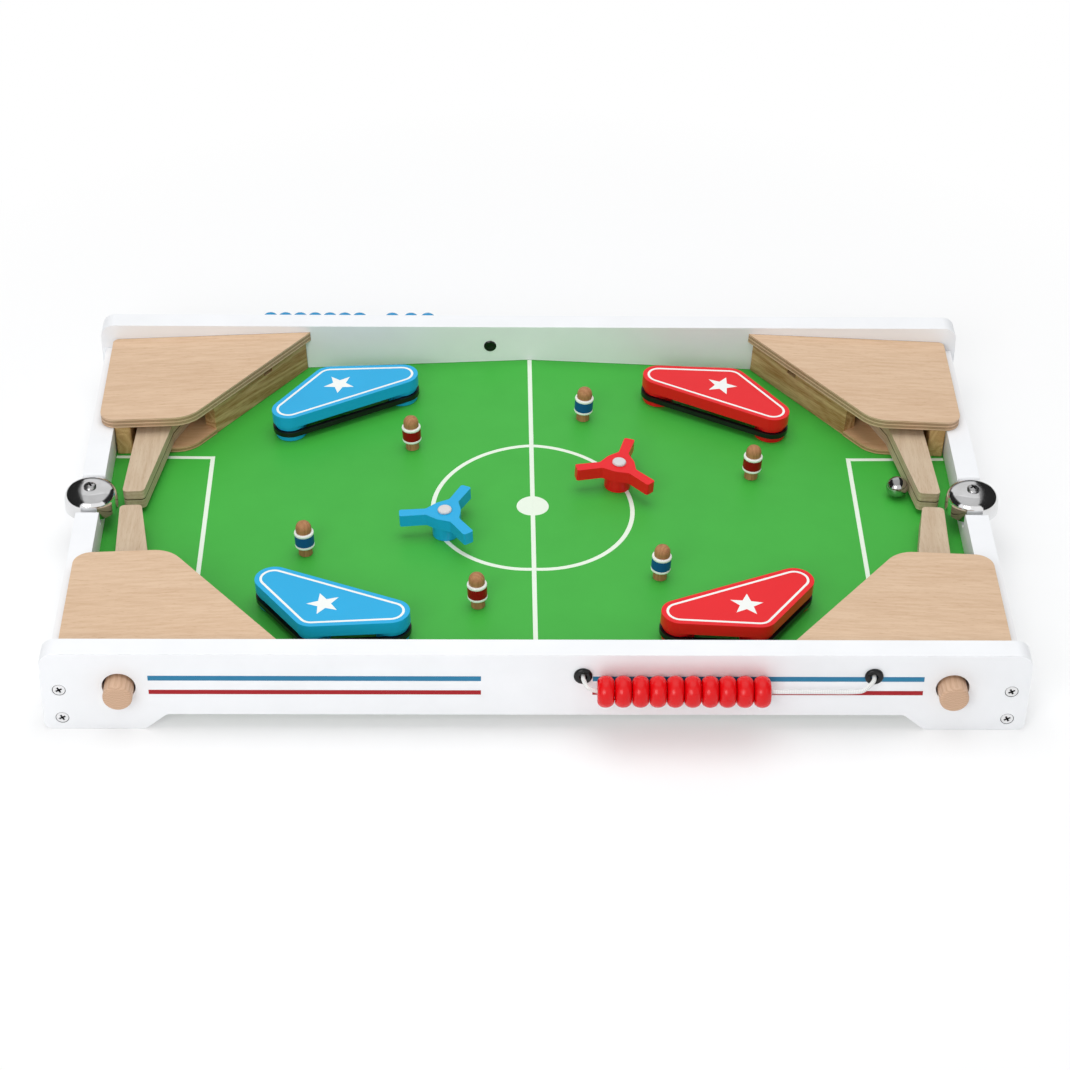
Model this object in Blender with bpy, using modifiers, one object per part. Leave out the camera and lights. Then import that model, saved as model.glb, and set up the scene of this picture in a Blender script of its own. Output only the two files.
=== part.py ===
"""A wooden tabletop pinball game for two players, in metres, +Z up.

It stands on z = 0, centred on x and y, with a player at each long side. The field falls away
from a ridge at x = 0 towards the two short ends, and what stands on it is placed on that slope:
across (away from the ridge), along (world y) and above the field's face.
"""

from math import acos, atan2, ceil, cos, hypot, pi, radians, sin, tan

import bmesh
import bpy
from mathutils import Vector

# Fits and facets
GAP = 0.0003
WELD = 0.00001
CUT_OVERRUN = 0.004
JOIN_OVERLAP = 0.002
ARC_STEP = radians(30)
TURN_STEPS = 12
FINE_TURN_STEPS = 20

# Side planks, which carry the feet, the score rows and the push buttons
PLANK_LENGTH = 0.720
PLANK_HEIGHT = 0.070
PLANK_THICKNESS = 0.018
PLANK_CORNER_RADIUS = 0.011
PLANK_EDGE_ROUND = 0.0022
FRAME_DEPTH = 0.452
FOOT_LENGTH = 0.074
FOOT_SLOPE_RUN = 0.016
FOOT_HEIGHT = 0.0138
FOOT_CORNER_RADIUS = 0.006

# End rails with the bells' notches
RAIL_THICKNESS = 0.018
RAIL_TOP = 0.0484
RAIL_BOTTOM = 0.0024
RAIL_SETBACK = 0.0037
RAIL_EDGE_ROUND = 0.0018
NOTCH_WIDTH = 0.047
NOTCH_DEPTH = 0.0154
NOTCH_CORNER_RADIUS = 0.003

# Playing field
FIELD_SLOPE = radians(2.7)
RIDGE_TOP = 0.0372
FIELD_THICKNESS = 0.005
GROOVE_DEPTH = 0.005
BEAM_WIDTH = 0.018
BEAM_HEIGHT = 0.018

# Corner covers, of thin board laid over the rails
COVER_THICKNESS = 0.008
COVER_RAIL_LAP = 0.0099
COVER_APEX_REACH = 0.1655
COVER_MOUTH_REACH = 0.0725
COVER_LENGTH = 0.1200
COVER_MOUTH_RADIUS = 0.026
COVER_CORNER_RADIUS = 0.013
COVER_BACK_RADIUS = 0.005
COVER_EDGE_ROUND = 0.0008

# Guards under the covers: base plate, slanting block and end block, with the flipper's pin
GUARD_BASE_THICKNESS = 0.0042
GUARD_SETBACK = 0.003
GUARD_RIM = 0.0006
SLANT_BLOCK_THICKNESS = 0.012
SLANT_BLOCK_START = 0.0325
END_BLOCK_WIDTH = 0.013
END_BLOCK_LENGTH = 0.100
END_BLOCK_RADIUS = 0.002
PIN_RADIUS = 0.003
PIN_CLEARANCE = 0.0003
POCKET_PLACE_SHARE = 0.59
POCKET_NOTCH_RADIUS = 0.0028
ANCHOR_PEG_RADIUS = 0.0016

# Flippers
FLIPPER_THICKNESS = 0.0165
FLIPPER_LENGTH = 0.126
FLIPPER_TIP_WIDTH = 0.0175
FLIPPER_TIP_OFFSET = 0.0208
FLIPPER_TIP_RADIUS = 0.0038
FLIPPER_ROOT_LENGTH = 0.037
FLIPPER_ROOT_WIDTH = 0.0283
FLIPPER_ROOT_OFFSET = 0.0064
FLIPPER_HUB_RADIUS = 0.008
FLIPPER_PAD_RADIUS = 0.008
FLIPPER_EDGE_ROUND = 0.0008
FLIPPER_SWING = radians(35)
LEVER_LENGTH = 0.020
TIP_GAP = 0.018
HOOK_HEIGHT = 0.0045
HOOK_RADIUS = 0.002
HOOK_ACROSS_SHARE = 0.5
HOOK_ALONG_SHARE = 0.74
RETURN_BAND_RADIUS = 0.0011

# Push buttons, plain dowels with a cross pin that keeps them in
BUTTON_RADIUS = 0.0108
BUTTON_PROUD = 0.013
BUTTON_HOLE_CLEARANCE = 0.0015
BUTTON_EDGE_ROUND = 0.002
BUTTON_TOUCH_GAP = 0.0006
CROSS_PIN_RADIUS = 0.0016
CROSS_PIN_LENGTH = 0.028
CROSS_PIN_INSET = 0.0035
CROSS_PIN_ROOM = 0.008

# Corner bumpers: a plate on three posts, with a rubber band round the posts
BUMPER_HEIGHT = 0.024
BUMPER_PLATE_THICKNESS = 0.010
BUMPER_CORNER_RADIUS = 0.0142
BUMPER_EDGE_ROUND = 0.0022
POST_FOOT_RADIUS = 0.0125
POST_FOOT_HEIGHT = 0.0045
POST_NECK_RADIUS = 0.0108
BUMPER_ACROSS_SHARES = (0.581, 0.488, 0.315)
BUMPER_ALONG_SHARES = (0.5425, 0.762, 0.758)
BAND_HEIGHT = 0.0042
BAND_THICKNESS = 0.0034
BAND_EDGE_ROUND = 0.0012

# Turned players
PLAYER_HEIGHT = 0.030
PLAYER_SHIRT_RADIUS = 0.0077
PLAYER_PROFILE_SHARES = (
    (0, 1.0), (0.42, 0.978), (0.70, 0.905), (0.80, 0.80), (0.785, 0.70),
    (0.97, 0.69), (1.0, 0.65), (1.0, 0.30), (0.97, 0.26),
    (0.69, 0.25), (0.69, 0.10), (0.70, 0), (0, 0),
)
PLAYER_PLACE_SHARES = ((0.2855, 0.412), (0.1268, 0.597), (0.5227, 0.2475))

# Spinners
SPINNER_REACH = 0.0355
SPINNER_HUB_RADIUS = 0.0124
SPINNER_ARMS = 3
SPINNER_ARM_THICKNESS = 0.010
SPINNER_NECK_WIDTH = 0.0080
SPINNER_TIP_WIDTH = 0.0086
SPINNER_TIP_RADIUS = 0.0018
SPINNER_NECK_RADIUS = 0.0035
SPINNER_NECK_PLACE = 0.0160
SPINNER_EDGE_ROUND = 0.001
SPINDLE_BASE_RADIUS = 0.0105
SPINDLE_BASE_HEIGHT = 0.0115
SPINDLE_AXLE_RADIUS = 0.003
SPINDLE_CAP_RADIUS = 0.0055
SPINDLE_CAP_THICKNESS = 0.002
SPINDLE_CAP_EDGE = 0.0011
SPINNER_PLACE_SHARES = (0.201, 0.1545)
LEFT_SPINNER_TURN = radians(62)
RIGHT_SPINNER_TURN = radians(74)

# Bells
BELL_RADIUS = 0.021
BELL_HEIGHT = 0.018
BELL_WALL = 0.0012
BELL_PROUD = 0.0062
BELL_HOLE_RADIUS = 0.0026
BELL_PROFILE_SHARES = ((0.48, 0.985), (0.76, 0.90), (0.92, 0.735), (0.985, 0.50), (1.0, 0))
BELL_POST_RADIUS = 0.005
BELL_SCREW_RADIUS = 0.0022
BELL_SCREW_HEAD_RADIUS = 0.005
BELL_SCREW_HEAD_HEIGHT = 0.0024
BELL_SCREW_HEAD_EDGE = 0.0014

# Ball
BALL_RADIUS = 0.00873
BALL_ALONG_FLIPPER = 0.026

# Score rows: beads on a cord held by two eyelets
BEAD_RADIUS = 0.01165
BEAD_PITCH = 0.0126
BEAD_BORE_RADIUS = 0.0026
BEAD_PROFILE_SHARES = ((0.95, 0.68), (1.0, 0.22), (1.0, -0.22), (0.95, -0.68), (0.76, -1.0))
EYELET_HEIGHT = 0.0512
NEAR_EYELET = 0.0334
EYELET_SPACING = 0.2116
EYELET_RIM_RADIUS = 0.0068
EYELET_RIM_THICKNESS = 0.0022
EYELET_RIM_EDGE = 0.0013
EYELET_BARREL_RADIUS = 0.0035
CORD_RADIUS = 0.0016
CORD_SAMPLES = 2
FRONT_CORD_DROP = 0.0052
BACK_CORD_DROP = 0
CORD_ROUTE_SHARES = (
    (0, 0, 0), (0.002, 0.45, 0.06), (0.016, 0.87, 0.5), (0.049, 1, 0.93), (0.103, 1, 1),
    (0.24, 1, 1), (0.38, 1, 1), (0.52, 1, 1), (0.66, 1, 1), (0.80, 1, 1),
    (0.93, 1, 0.97), (0.965, 0.93, 0.66), (0.994, 0.5, 0.12), (1, 0, 0),
)
FRONT_ROW_START = 0.0099
FRONT_BEAD_COUNTS = (7, 1, 1, 1)
FRONT_SPACE_SHARES = (0, 0, 0, 0)
BACK_ROW_START = 0.0467
BACK_BEAD_COUNTS = (1, 1, 1, 7)
BACK_SPACE_SHARES = (0, 0.135, 0.262, 1.198)

# Worked out from the sizes above
HALF_LENGTH = PLANK_LENGTH / 2
INNER_WALL = FRAME_DEPTH / 2 - PLANK_THICKNESS
RAIL_OUTER = HALF_LENGTH - RAIL_SETBACK
RAIL_INNER = RAIL_OUTER - RAIL_THICKNESS
RAIL_MIDDLE = RAIL_OUTER - RAIL_THICKNESS / 2
NOTCH_FLOOR = RAIL_TOP - NOTCH_DEPTH
COVER_OUTER = (RAIL_INNER + COVER_RAIL_LAP) / cos(FIELD_SLOPE) - GAP
COVER_UNDER = (RAIL_TOP + GAP - RIDGE_TOP) * cos(FIELD_SLOPE) + COVER_OUTER * sin(FIELD_SLOPE)
GUARD_TOP = COVER_UNDER - GAP
GUARD_BASE_TOP = GAP + GUARD_BASE_THICKNESS
FLIPPER_UNDER = GUARD_BASE_TOP + GAP
FLIPPER_TOP = FLIPPER_UNDER + FLIPPER_THICKNESS
BUTTON_ABOVE = GUARD_BASE_TOP + GAP + BUTTON_RADIUS
LEVER_REACH = LEVER_LENGTH * (1 + cos(FLIPPER_SWING)) / 2
COVER_NEAR_EDGE = INNER_WALL - COVER_LENGTH
FLIPPER_PIVOT_ALONG = TIP_GAP / 2 + FLIPPER_LENGTH
GUARD_OUTER = RAIL_INNER - GAP
BUTTON_ACROSS = GUARD_OUTER - END_BLOCK_WIDTH - CROSS_PIN_ROOM - CROSS_PIN_LENGTH / 2
PIVOT_ACROSS = BUTTON_ACROSS - LEVER_REACH
BEAD_OUT = FRAME_DEPTH / 2 + GAP + BEAD_RADIUS

SIDES = {"left": -1, "right": 1}
ENDS = {"rear": 1, "front": -1}


def belt(rounds):
    """An outline, anticlockwise, that runs round discs (x, y, radius) as a belt does.

    A negative radius is a hollow corner, and a radius of 0 a sharp one.
    """
    normals = []
    for (x0, y0, r0), (x1, y1, r1) in zip(rounds, rounds[1:] + rounds[:1]):
        distance = hypot(x1 - x0, y1 - y0)
        heading = atan2(y1 - y0, x1 - x0)
        normals.append(heading - acos((r0 - r1) / distance))
    outline = []
    for index, (x, y, radius) in enumerate(rounds):
        start = normals[index - 1]
        turn = (normals[index] - start + pi) % (2 * pi) - pi
        steps = max(1, ceil(abs(turn) / ARC_STEP)) if radius else 0
        for step in range(steps + 1):
            angle = start + turn * step / max(1, steps)
            outline.append((x + radius * cos(angle), y + radius * sin(angle)))
    return outline


def add_material(name, colour, roughness, metallic=0.0):
    material = bpy.data.materials.new(name)
    material.use_nodes = True
    shader = material.node_tree.nodes["Principled BSDF"]
    shader.inputs["Base Color"].default_value = (*colour, 1.0)
    shader.inputs["Roughness"].default_value = roughness
    shader.inputs["Metallic"].default_value = metallic
    return material


def baked(obj):
    """The mesh of an object as the viewport shows it."""
    graph = bpy.context.evaluated_depsgraph_get()
    return bpy.data.meshes.new_from_object(obj.evaluated_get(graph))


def settle(obj):
    """Turns an object's modifiers into plain mesh."""
    mesh = baked(obj)
    obj.modifiers.clear()
    obj.data = mesh
    return obj


def tidy_mesh(mesh):
    work = bmesh.new()
    work.from_mesh(mesh)
    bmesh.ops.remove_doubles(work, verts=work.verts, dist=WELD)
    bmesh.ops.recalc_face_normals(work, faces=work.faces)
    work.to_mesh(mesh)
    work.free()


def place(obj, parent=None, location=(0, 0, 0), rotation=(0, 0, 0)):
    obj.parent = parent
    obj.location = location
    obj.rotation_euler = rotation
    bpy.context.view_layer.update()
    return obj


def sheet_piece(shop, name, outline, thickness):
    """A flat piece cut to an outline in its own xy plane, centred on its thickness."""
    curve = bpy.data.curves.new(name, "CURVE")
    curve.dimensions = "2D"
    curve.fill_mode = "BOTH"
    curve.extrude = thickness / 2
    spline = curve.splines.new("POLY")
    spline.points.add(len(outline) - 1)
    for point, (x, y) in zip(spline.points, outline):
        point.co = (x, y, 0, 1)
    spline.use_cyclic_u = True
    guide = bpy.data.objects.new(name + "_outline", curve)
    shop.objects.link(guide)
    mesh = baked(guide)
    bpy.data.objects.remove(guide)
    bpy.data.curves.remove(curve)
    tidy_mesh(mesh)
    piece = bpy.data.objects.new(name, mesh)
    shop.objects.link(piece)
    return piece


def slab(shop, name, outline, bottom, top):
    """A flat piece that stands from bottom to top in its own frame."""
    piece = sheet_piece(shop, name, outline, top - bottom)
    for vertex in piece.data.vertices:
        vertex.co.z += (top + bottom) / 2
    return piece


def turned(shop, name, profile, steps=TURN_STEPS, ring=False):
    """A turned piece from (radius, height) pairs that run from the top down the outer side."""
    mesh = bpy.data.meshes.new(name)
    edges = [(i, i + 1) for i in range(len(profile) - 1)]
    if ring:
        edges.append((len(profile) - 1, 0))
    mesh.from_pydata([(radius, 0, height) for radius, height in profile], edges, [])
    piece = bpy.data.objects.new(name, mesh)
    shop.objects.link(piece)
    screw = piece.modifiers.new("turning", "SCREW")
    screw.axis = "Z"
    screw.angle = 2 * pi
    screw.steps = steps
    screw.render_steps = steps
    screw.use_merge_vertices = True
    screw.merge_threshold = WELD
    settle(piece)
    tidy_mesh(piece.data)
    return piece


def rod(shop, name, radius, bottom, top, steps=TURN_STEPS):
    return turned(shop, name, [(0, top), (radius, top), (radius, bottom), (0, bottom)], steps)


def round_edges(obj, width, segments=2, angle=radians(40)):
    bevel = obj.modifiers.new("edge_round", "BEVEL")
    bevel.width = width
    bevel.segments = segments
    bevel.limit_method = "ANGLE"
    bevel.angle_limit = angle
    return settle(obj)


def combine(obj, others, operation):
    """Joins or cuts an object with others, which are used up."""
    for other in others:
        boolean = obj.modifiers.new(operation.lower(), "BOOLEAN")
        boolean.operation = operation
        boolean.object = other
    bpy.context.view_layer.update()
    settle(obj)
    for other in others:
        mesh = other.data
        bpy.data.objects.remove(other)
        bpy.data.meshes.remove(mesh)
    tidy_mesh(obj.data)
    return obj


def finish(obj, material, name=None):
    obj.name = name or obj.name
    obj.data.name = obj.name
    obj.data.materials.clear()
    obj.data.materials.append(material)
    obj.data.shade_smooth()
    obj.data.set_sharp_from_angle(angle=radians(35))
    return obj


def copy_of(obj, name, shop):
    twin = bpy.data.objects.new(name, obj.data)
    shop.objects.link(twin)
    return twin


def add_empty(shop, name, location, rotation=(0, 0, 0)):
    empty = bpy.data.objects.new(name, None)
    shop.objects.link(empty)
    return place(empty, None, location, rotation)


def button_axis():
    """World x and z of a push button's axis."""
    x = BUTTON_ACROSS * cos(FIELD_SLOPE) + BUTTON_ABOVE * sin(FIELD_SLOPE)
    z = RIDGE_TOP - BUTTON_ACROSS * sin(FIELD_SLOPE) + BUTTON_ABOVE * cos(FIELD_SLOPE)
    return x, z


def field_profile(side, slack):
    """One field board's cross-section in world x and z, grown by slack."""
    inner = GAP / 2 - slack
    outer = RAIL_INNER + GROOVE_DEPTH - GAP + slack
    drop = tan(FIELD_SLOPE)
    top = RIDGE_TOP + slack
    under = RIDGE_TOP - FIELD_THICKNESS - slack
    corners = [
        (inner, under - inner * drop),
        (outer, under - outer * drop),
        (outer, top - outer * drop),
        (inner, top - inner * drop),
    ]
    return [(side * x, z) for x, z in corners]


def along_y(piece, centre=0):
    """Turns a piece cut in its xy plane so that this plane stands in world xz."""
    return place(piece, None, (0, centre, 0), (pi / 2, 0, 0))


def field_cutters(shop):
    length = 2 * (INNER_WALL + GROOVE_DEPTH)
    for side in SIDES.values():
        cutter = sheet_piece(shop, "field_groove_cutter", field_profile(side, GAP), length)
        yield along_y(cutter)


def make_planks(shop, paint):
    half = HALF_LENGTH
    corner = PLANK_CORNER_RADIUS
    foot = FOOT_CORNER_RADIUS
    toe = half - FOOT_LENGTH
    heel = toe - FOOT_SLOPE_RUN
    slope = atan2(FOOT_HEIGHT, FOOT_SLOPE_RUN)
    lean = foot * tan(slope / 2)
    outline = belt([
        (-half + foot, foot, foot),
        (-toe - lean, foot, foot),
        (-heel + lean, FOOT_HEIGHT - foot, -foot),
        (heel - lean, FOOT_HEIGHT - foot, -foot),
        (toe + lean, foot, foot),
        (half - foot, foot, foot),
        (half - corner, PLANK_HEIGHT - corner, corner),
        (-half + corner, PLANK_HEIGHT - corner, corner),
    ])
    plank = sheet_piece(shop, "front_plank", outline, PLANK_THICKNESS)
    round_edges(plank, PLANK_EDGE_ROUND)
    along_y(plank, -(INNER_WALL + PLANK_THICKNESS / 2))
    x, z = button_axis()
    holes = [
        (side * x, z + BUTTON_HOLE_CLEARANCE - GAP, BUTTON_RADIUS + BUTTON_HOLE_CLEARANCE, FINE_TURN_STEPS)
        for side in SIDES.values()
    ]
    for eyelet in (NEAR_EYELET, NEAR_EYELET + EYELET_SPACING):
        holes.append((eyelet, EYELET_HEIGHT, EYELET_BARREL_RADIUS + GAP, TURN_STEPS))
    cutters = list(field_cutters(shop))
    reach = PLANK_THICKNESS / 2 + CUT_OVERRUN
    for hole_x, hole_z, radius, steps in holes:
        cutter = rod(shop, "hole_cutter", radius, -reach, reach, steps)
        place(cutter, None, (hole_x, -(INNER_WALL + PLANK_THICKNESS / 2), hole_z), (pi / 2, 0, 0))
        cutters.append(cutter)
    combine(plank, cutters, "DIFFERENCE")
    finish(plank, paint)
    back = copy_of(plank, "back_plank", shop)
    place(back, None, (0, INNER_WALL + PLANK_THICKNESS / 2, 0), (pi / 2, 0, pi))


def make_rails(shop, paint):
    half = INNER_WALL - GAP
    notch = NOTCH_WIDTH / 2
    corner = NOTCH_CORNER_RADIUS
    outline = belt([
        (-half, RAIL_BOTTOM, 0),
        (half, RAIL_BOTTOM, 0),
        (half, RAIL_TOP, 0),
        (notch + corner, RAIL_TOP - corner, corner),
        (notch - corner, NOTCH_FLOOR + corner, -corner),
        (-notch + corner, NOTCH_FLOOR + corner, -corner),
        (-notch - corner, RAIL_TOP - corner, corner),
        (-half, RAIL_TOP, 0),
    ])
    for label, side in SIDES.items():
        rail = sheet_piece(shop, label + "_rail", outline, RAIL_THICKNESS)
        round_edges(rail, RAIL_EDGE_ROUND)
        place(rail, None, (side * RAIL_MIDDLE, 0, 0), (pi / 2, 0, pi / 2))
        combine(rail, list(field_cutters(shop)), "DIFFERENCE")
        finish(rail, paint)


def make_field(shop, green, wood):
    length = 2 * (INNER_WALL + GROOVE_DEPTH - GAP)
    for label, side in SIDES.items():
        board = sheet_piece(shop, label + "_field_board", field_profile(side, 0), length)
        finish(along_y(board), green)
    half = BEAM_WIDTH / 2
    top = RIDGE_TOP - FIELD_THICKNESS - GAP
    bottom = top - BEAM_HEIGHT
    shoulder = top - half * tan(FIELD_SLOPE)
    outline = [(-half, bottom), (half, bottom), (half, shoulder), (0, top), (-half, shoulder)]
    beam = sheet_piece(shop, "ridge_beam", outline, 2 * (INNER_WALL - GAP))
    finish(along_y(beam), wood)


def slant_line():
    """The cover's slanting edge: its start by the flipper, its heading and the normal into the corner."""
    start = Vector((COVER_OUTER - COVER_MOUTH_REACH, COVER_NEAR_EDGE))
    apex = Vector((COVER_OUTER - COVER_APEX_REACH, INNER_WALL))
    heading = (apex - start).normalized()
    return start, heading, Vector((heading.y, -heading.x))


def cover_outline(inset, outer, near_edge, corner_radius, back_radius):
    """The corner's outline on the field, drawn in from the cover's edge by inset."""
    start, heading, inward = slant_line()
    slant = start + inward * inset
    wall = INNER_WALL - GAP
    apex = slant + heading * ((wall - slant.y) / heading.y)
    turn = acos(-heading.x)
    radius = COVER_MOUTH_RADIUS - inset
    mouth = slant + heading * ((near_edge - slant.y) / heading.y)
    centre = mouth + Vector((radius * tan(turn / 2), radius))
    return belt([
        (centre.x, centre.y, radius),
        (outer - corner_radius, near_edge + corner_radius, corner_radius),
        (outer - back_radius, wall - back_radius, back_radius),
        (apex.x, apex.y, 0),
    ])


def mirrored(outline, side, end):
    return [(side * x, end * y) for x, y in outline]


def make_cover(shop, decks, label, side, end, ply):
    outline = cover_outline(0, COVER_OUTER, COVER_NEAR_EDGE, COVER_CORNER_RADIUS, COVER_BACK_RADIUS)
    cover = slab(shop, label + "_cover", mirrored(outline, side, end), 0, COVER_THICKNESS)
    round_edges(cover, COVER_EDGE_ROUND, 1)
    place(cover, decks[side], (0, 0, COVER_UNDER))
    finish(cover, ply)


def guard_slant():
    """The slanting block's outer face: its end by the flipper, and where it meets the plank."""
    start, heading, inward = slant_line()
    near = start + inward * GUARD_SETBACK + heading * SLANT_BLOCK_START
    far = near + heading * ((INNER_WALL - GAP - near.y) / heading.y)
    return near, far, heading, inward


def band_anchor():
    """Where the return band is hooked in the slanting block."""
    near, far, heading, inward = guard_slant()
    return near + (far - near) * POCKET_PLACE_SHARE + inward * SLANT_BLOCK_THICKNESS / 2


def band_hook():
    """The peg on the flipper that the return band pulls, from the pivot."""
    return Vector((HOOK_ACROSS_SHARE, HOOK_ALONG_SHARE)) * FLIPPER_HUB_RADIUS


def band_pocket():
    """The pocket in the slanting block's top: a notch outside, the anchor, and the band's way out."""
    anchor = band_anchor()
    inward = guard_slant()[3]
    way = (Vector((PIVOT_ACROSS, FLIPPER_PIVOT_ALONG)) + band_hook() - anchor).normalized()
    room = max(ANCHOR_PEG_RADIUS, HOOK_RADIUS) + 2 * (RETURN_BAND_RADIUS + GAP)
    notch = anchor - inward * (SLANT_BLOCK_THICKNESS / 2 + POCKET_NOTCH_RADIUS / 2)
    out = anchor + way * (SLANT_BLOCK_THICKNESS / 2 + room) / way.dot(inward)
    return belt([
        (notch.x, notch.y, POCKET_NOTCH_RADIUS),
        (out.x, out.y, room),
        (anchor.x, anchor.y, room),
    ])


def make_guard(shop, decks, label, side, end, ply):
    near_edge = COVER_NEAR_EDGE + GUARD_SETBACK
    rim = GUARD_SETBACK - GUARD_RIM
    base_outline = cover_outline(rim, GUARD_OUTER, near_edge - GUARD_RIM, END_BLOCK_RADIUS, 0)
    guard = slab(shop, label + "_guard", mirrored(base_outline, side, end), GAP, GUARD_BASE_TOP)
    near, far, heading, inward = guard_slant()
    wall = INNER_WALL - GAP - GUARD_RIM
    depth = inward * SLANT_BLOCK_THICKNESS
    inner_far = near + depth
    inner_far += heading * ((wall - inner_far.y) / heading.y)
    outer_far = near + heading * ((wall - near.y) / heading.y)
    slant = [tuple(near), tuple(near + depth), tuple(inner_far), tuple(outer_far)]
    foot = GAP + GUARD_BASE_THICKNESS / 2
    slant_block = slab(shop, "slant_block", mirrored(slant, side, end), foot, GUARD_TOP)
    inner = GUARD_OUTER - GUARD_RIM - END_BLOCK_WIDTH
    radius = END_BLOCK_RADIUS
    block = belt([
        (inner + radius, near_edge + radius, radius),
        (GUARD_OUTER - GUARD_RIM - radius, near_edge + radius, radius),
        (GUARD_OUTER - GUARD_RIM, near_edge + END_BLOCK_LENGTH, 0),
        (inner, near_edge + END_BLOCK_LENGTH, 0),
    ])
    end_block = slab(shop, "end_block", mirrored(block, side, end), foot, GUARD_TOP)
    pin = rod(shop, "pivot_pin", PIN_RADIUS, foot, GUARD_TOP)
    place(pin, None, (side * PIVOT_ACROSS, end * FLIPPER_PIVOT_ALONG, 0))
    combine(guard, [slant_block, end_block, pin], "UNION")
    floor = FLIPPER_TOP + GAP
    pocket = slab(shop, "pocket_cutter", mirrored(band_pocket(), side, end), floor, GUARD_TOP + CUT_OVERRUN)
    combine(guard, [pocket], "DIFFERENCE")
    anchor = band_anchor()
    peg = rod(shop, "anchor_peg", ANCHOR_PEG_RADIUS, floor - JOIN_OVERLAP, GUARD_TOP)
    place(peg, None, (side * anchor.x, end * anchor.y, 0))
    combine(guard, [peg], "UNION")
    place(guard, decks[side])
    finish(guard, ply)


def blade_inner_edge():
    """The blade's inner edge from the pivot: its corner at the tip, and its bend by the hub."""
    tip = Vector((FLIPPER_TIP_OFFSET, -FLIPPER_LENGTH))
    root = Vector((FLIPPER_ROOT_OFFSET, -FLIPPER_ROOT_LENGTH))
    return tip, root


def flipper_outline():
    """The flipper at rest, about its pivot, for the rear right corner.

    Its lever stands square to the push button once the flipper has swung all the way.
    """
    tip, root = blade_inner_edge()
    radius = FLIPPER_TIP_RADIUS
    pad_x = LEVER_LENGTH * cos(FLIPPER_SWING)
    pad_y = LEVER_LENGTH * sin(FLIPPER_SWING)
    return belt([
        (tip.x + radius, tip.y + radius, radius),
        (tip.x + FLIPPER_TIP_WIDTH - radius, tip.y + radius, radius),
        (root.x + FLIPPER_ROOT_WIDTH - radius, root.y, radius),
        (pad_x, pad_y, FLIPPER_PAD_RADIUS),
        (0, 0, FLIPPER_HUB_RADIUS),
        (root.x - radius, root.y, -radius),
    ])


def make_flipper(shop, decks, label, side, end, ply):
    outline = mirrored(flipper_outline(), side, end)
    flipper = slab(shop, label + "_flipper", outline, 0, FLIPPER_THICKNESS)
    round_edges(flipper, FLIPPER_EDGE_ROUND, 1)
    at = band_hook()
    top = FLIPPER_THICKNESS + HOOK_HEIGHT
    hook = rod(shop, "hook", HOOK_RADIUS, FLIPPER_THICKNESS - JOIN_OVERLAP, top)
    place(hook, None, (side * at.x, end * at.y, 0))
    combine(flipper, [hook], "UNION")
    bore = rod(
        shop, "bore_cutter", PIN_RADIUS + PIN_CLEARANCE, -CUT_OVERRUN, FLIPPER_THICKNESS + CUT_OVERRUN,
    )
    combine(flipper, [bore], "DIFFERENCE")
    place(flipper, decks[side], (side * PIVOT_ACROSS, end * FLIPPER_PIVOT_ALONG, FLIPPER_UNDER))
    finish(flipper, ply)


def make_return_band(shop, decks, label, side, end, rubber):
    """A rubber band from the slanting block's peg to the flipper's."""
    anchor = band_anchor()
    hook = band_hook() + Vector((PIVOT_ACROSS, FLIPPER_PIVOT_ALONG))
    slack = RETURN_BAND_RADIUS + GAP
    rounds = [
        (anchor.x, anchor.y, ANCHOR_PEG_RADIUS + slack),
        (hook.x, hook.y, HOOK_RADIUS + slack),
    ]
    curve = bpy.data.curves.new(label + "_return_band", "CURVE")
    curve.dimensions = "3D"
    curve.bevel_depth = RETURN_BAND_RADIUS
    curve.bevel_resolution = 1
    spline = curve.splines.new("POLY")
    outline = mirrored(belt(rounds), side, end)
    spline.points.add(len(outline) - 1)
    for point, (x, y) in zip(spline.points, outline):
        point.co = (x, y, 0, 1)
    spline.use_cyclic_u = True
    guide = bpy.data.objects.new(label + "_band_route", curve)
    shop.objects.link(guide)
    mesh = baked(guide)
    bpy.data.objects.remove(guide)
    bpy.data.curves.remove(curve)
    tidy_mesh(mesh)
    band = bpy.data.objects.new(label + "_return_band", mesh)
    shop.objects.link(band)
    place(band, decks[side], (0, 0, (FLIPPER_TOP + COVER_UNDER) / 2))
    finish(band, rubber)


def button_nose():
    """World y of a push button's inner end, clear of the flipper's pad."""
    pad_along = FLIPPER_PIVOT_ALONG + LEVER_LENGTH * sin(FLIPPER_SWING)
    return pad_along + FLIPPER_PAD_RADIUS + BUTTON_TOUCH_GAP


def make_button(shop, decks, label, side, end, wood):
    """A dowel on its own axis, its outer end at z = 0, with both ends chamfered."""
    length = FRAME_DEPTH / 2 + BUTTON_PROUD - button_nose()
    radius = BUTTON_RADIUS
    edge = BUTTON_EDGE_ROUND
    outer = [(0, 0), (radius - edge, 0), (radius, -edge)]
    inner = [(r, -length - z) for r, z in reversed(outer)]
    button = turned(shop, label + "_button", outer + inner, FINE_TURN_STEPS)
    pin = rod(shop, "cross_pin", CROSS_PIN_RADIUS, -CROSS_PIN_LENGTH / 2, CROSS_PIN_LENGTH / 2)
    inside = BUTTON_PROUD + PLANK_THICKNESS + CROSS_PIN_INSET
    place(pin, None, (0, 0, -inside), (0, pi / 2, 0))
    combine(button, [pin], "UNION")
    outer_end = end * (FRAME_DEPTH / 2 + BUTTON_PROUD)
    place(button, decks[side], (side * BUTTON_ACROSS, outer_end, BUTTON_ABOVE), (-end * pi / 2, 0, 0))
    finish(button, wood)


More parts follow.
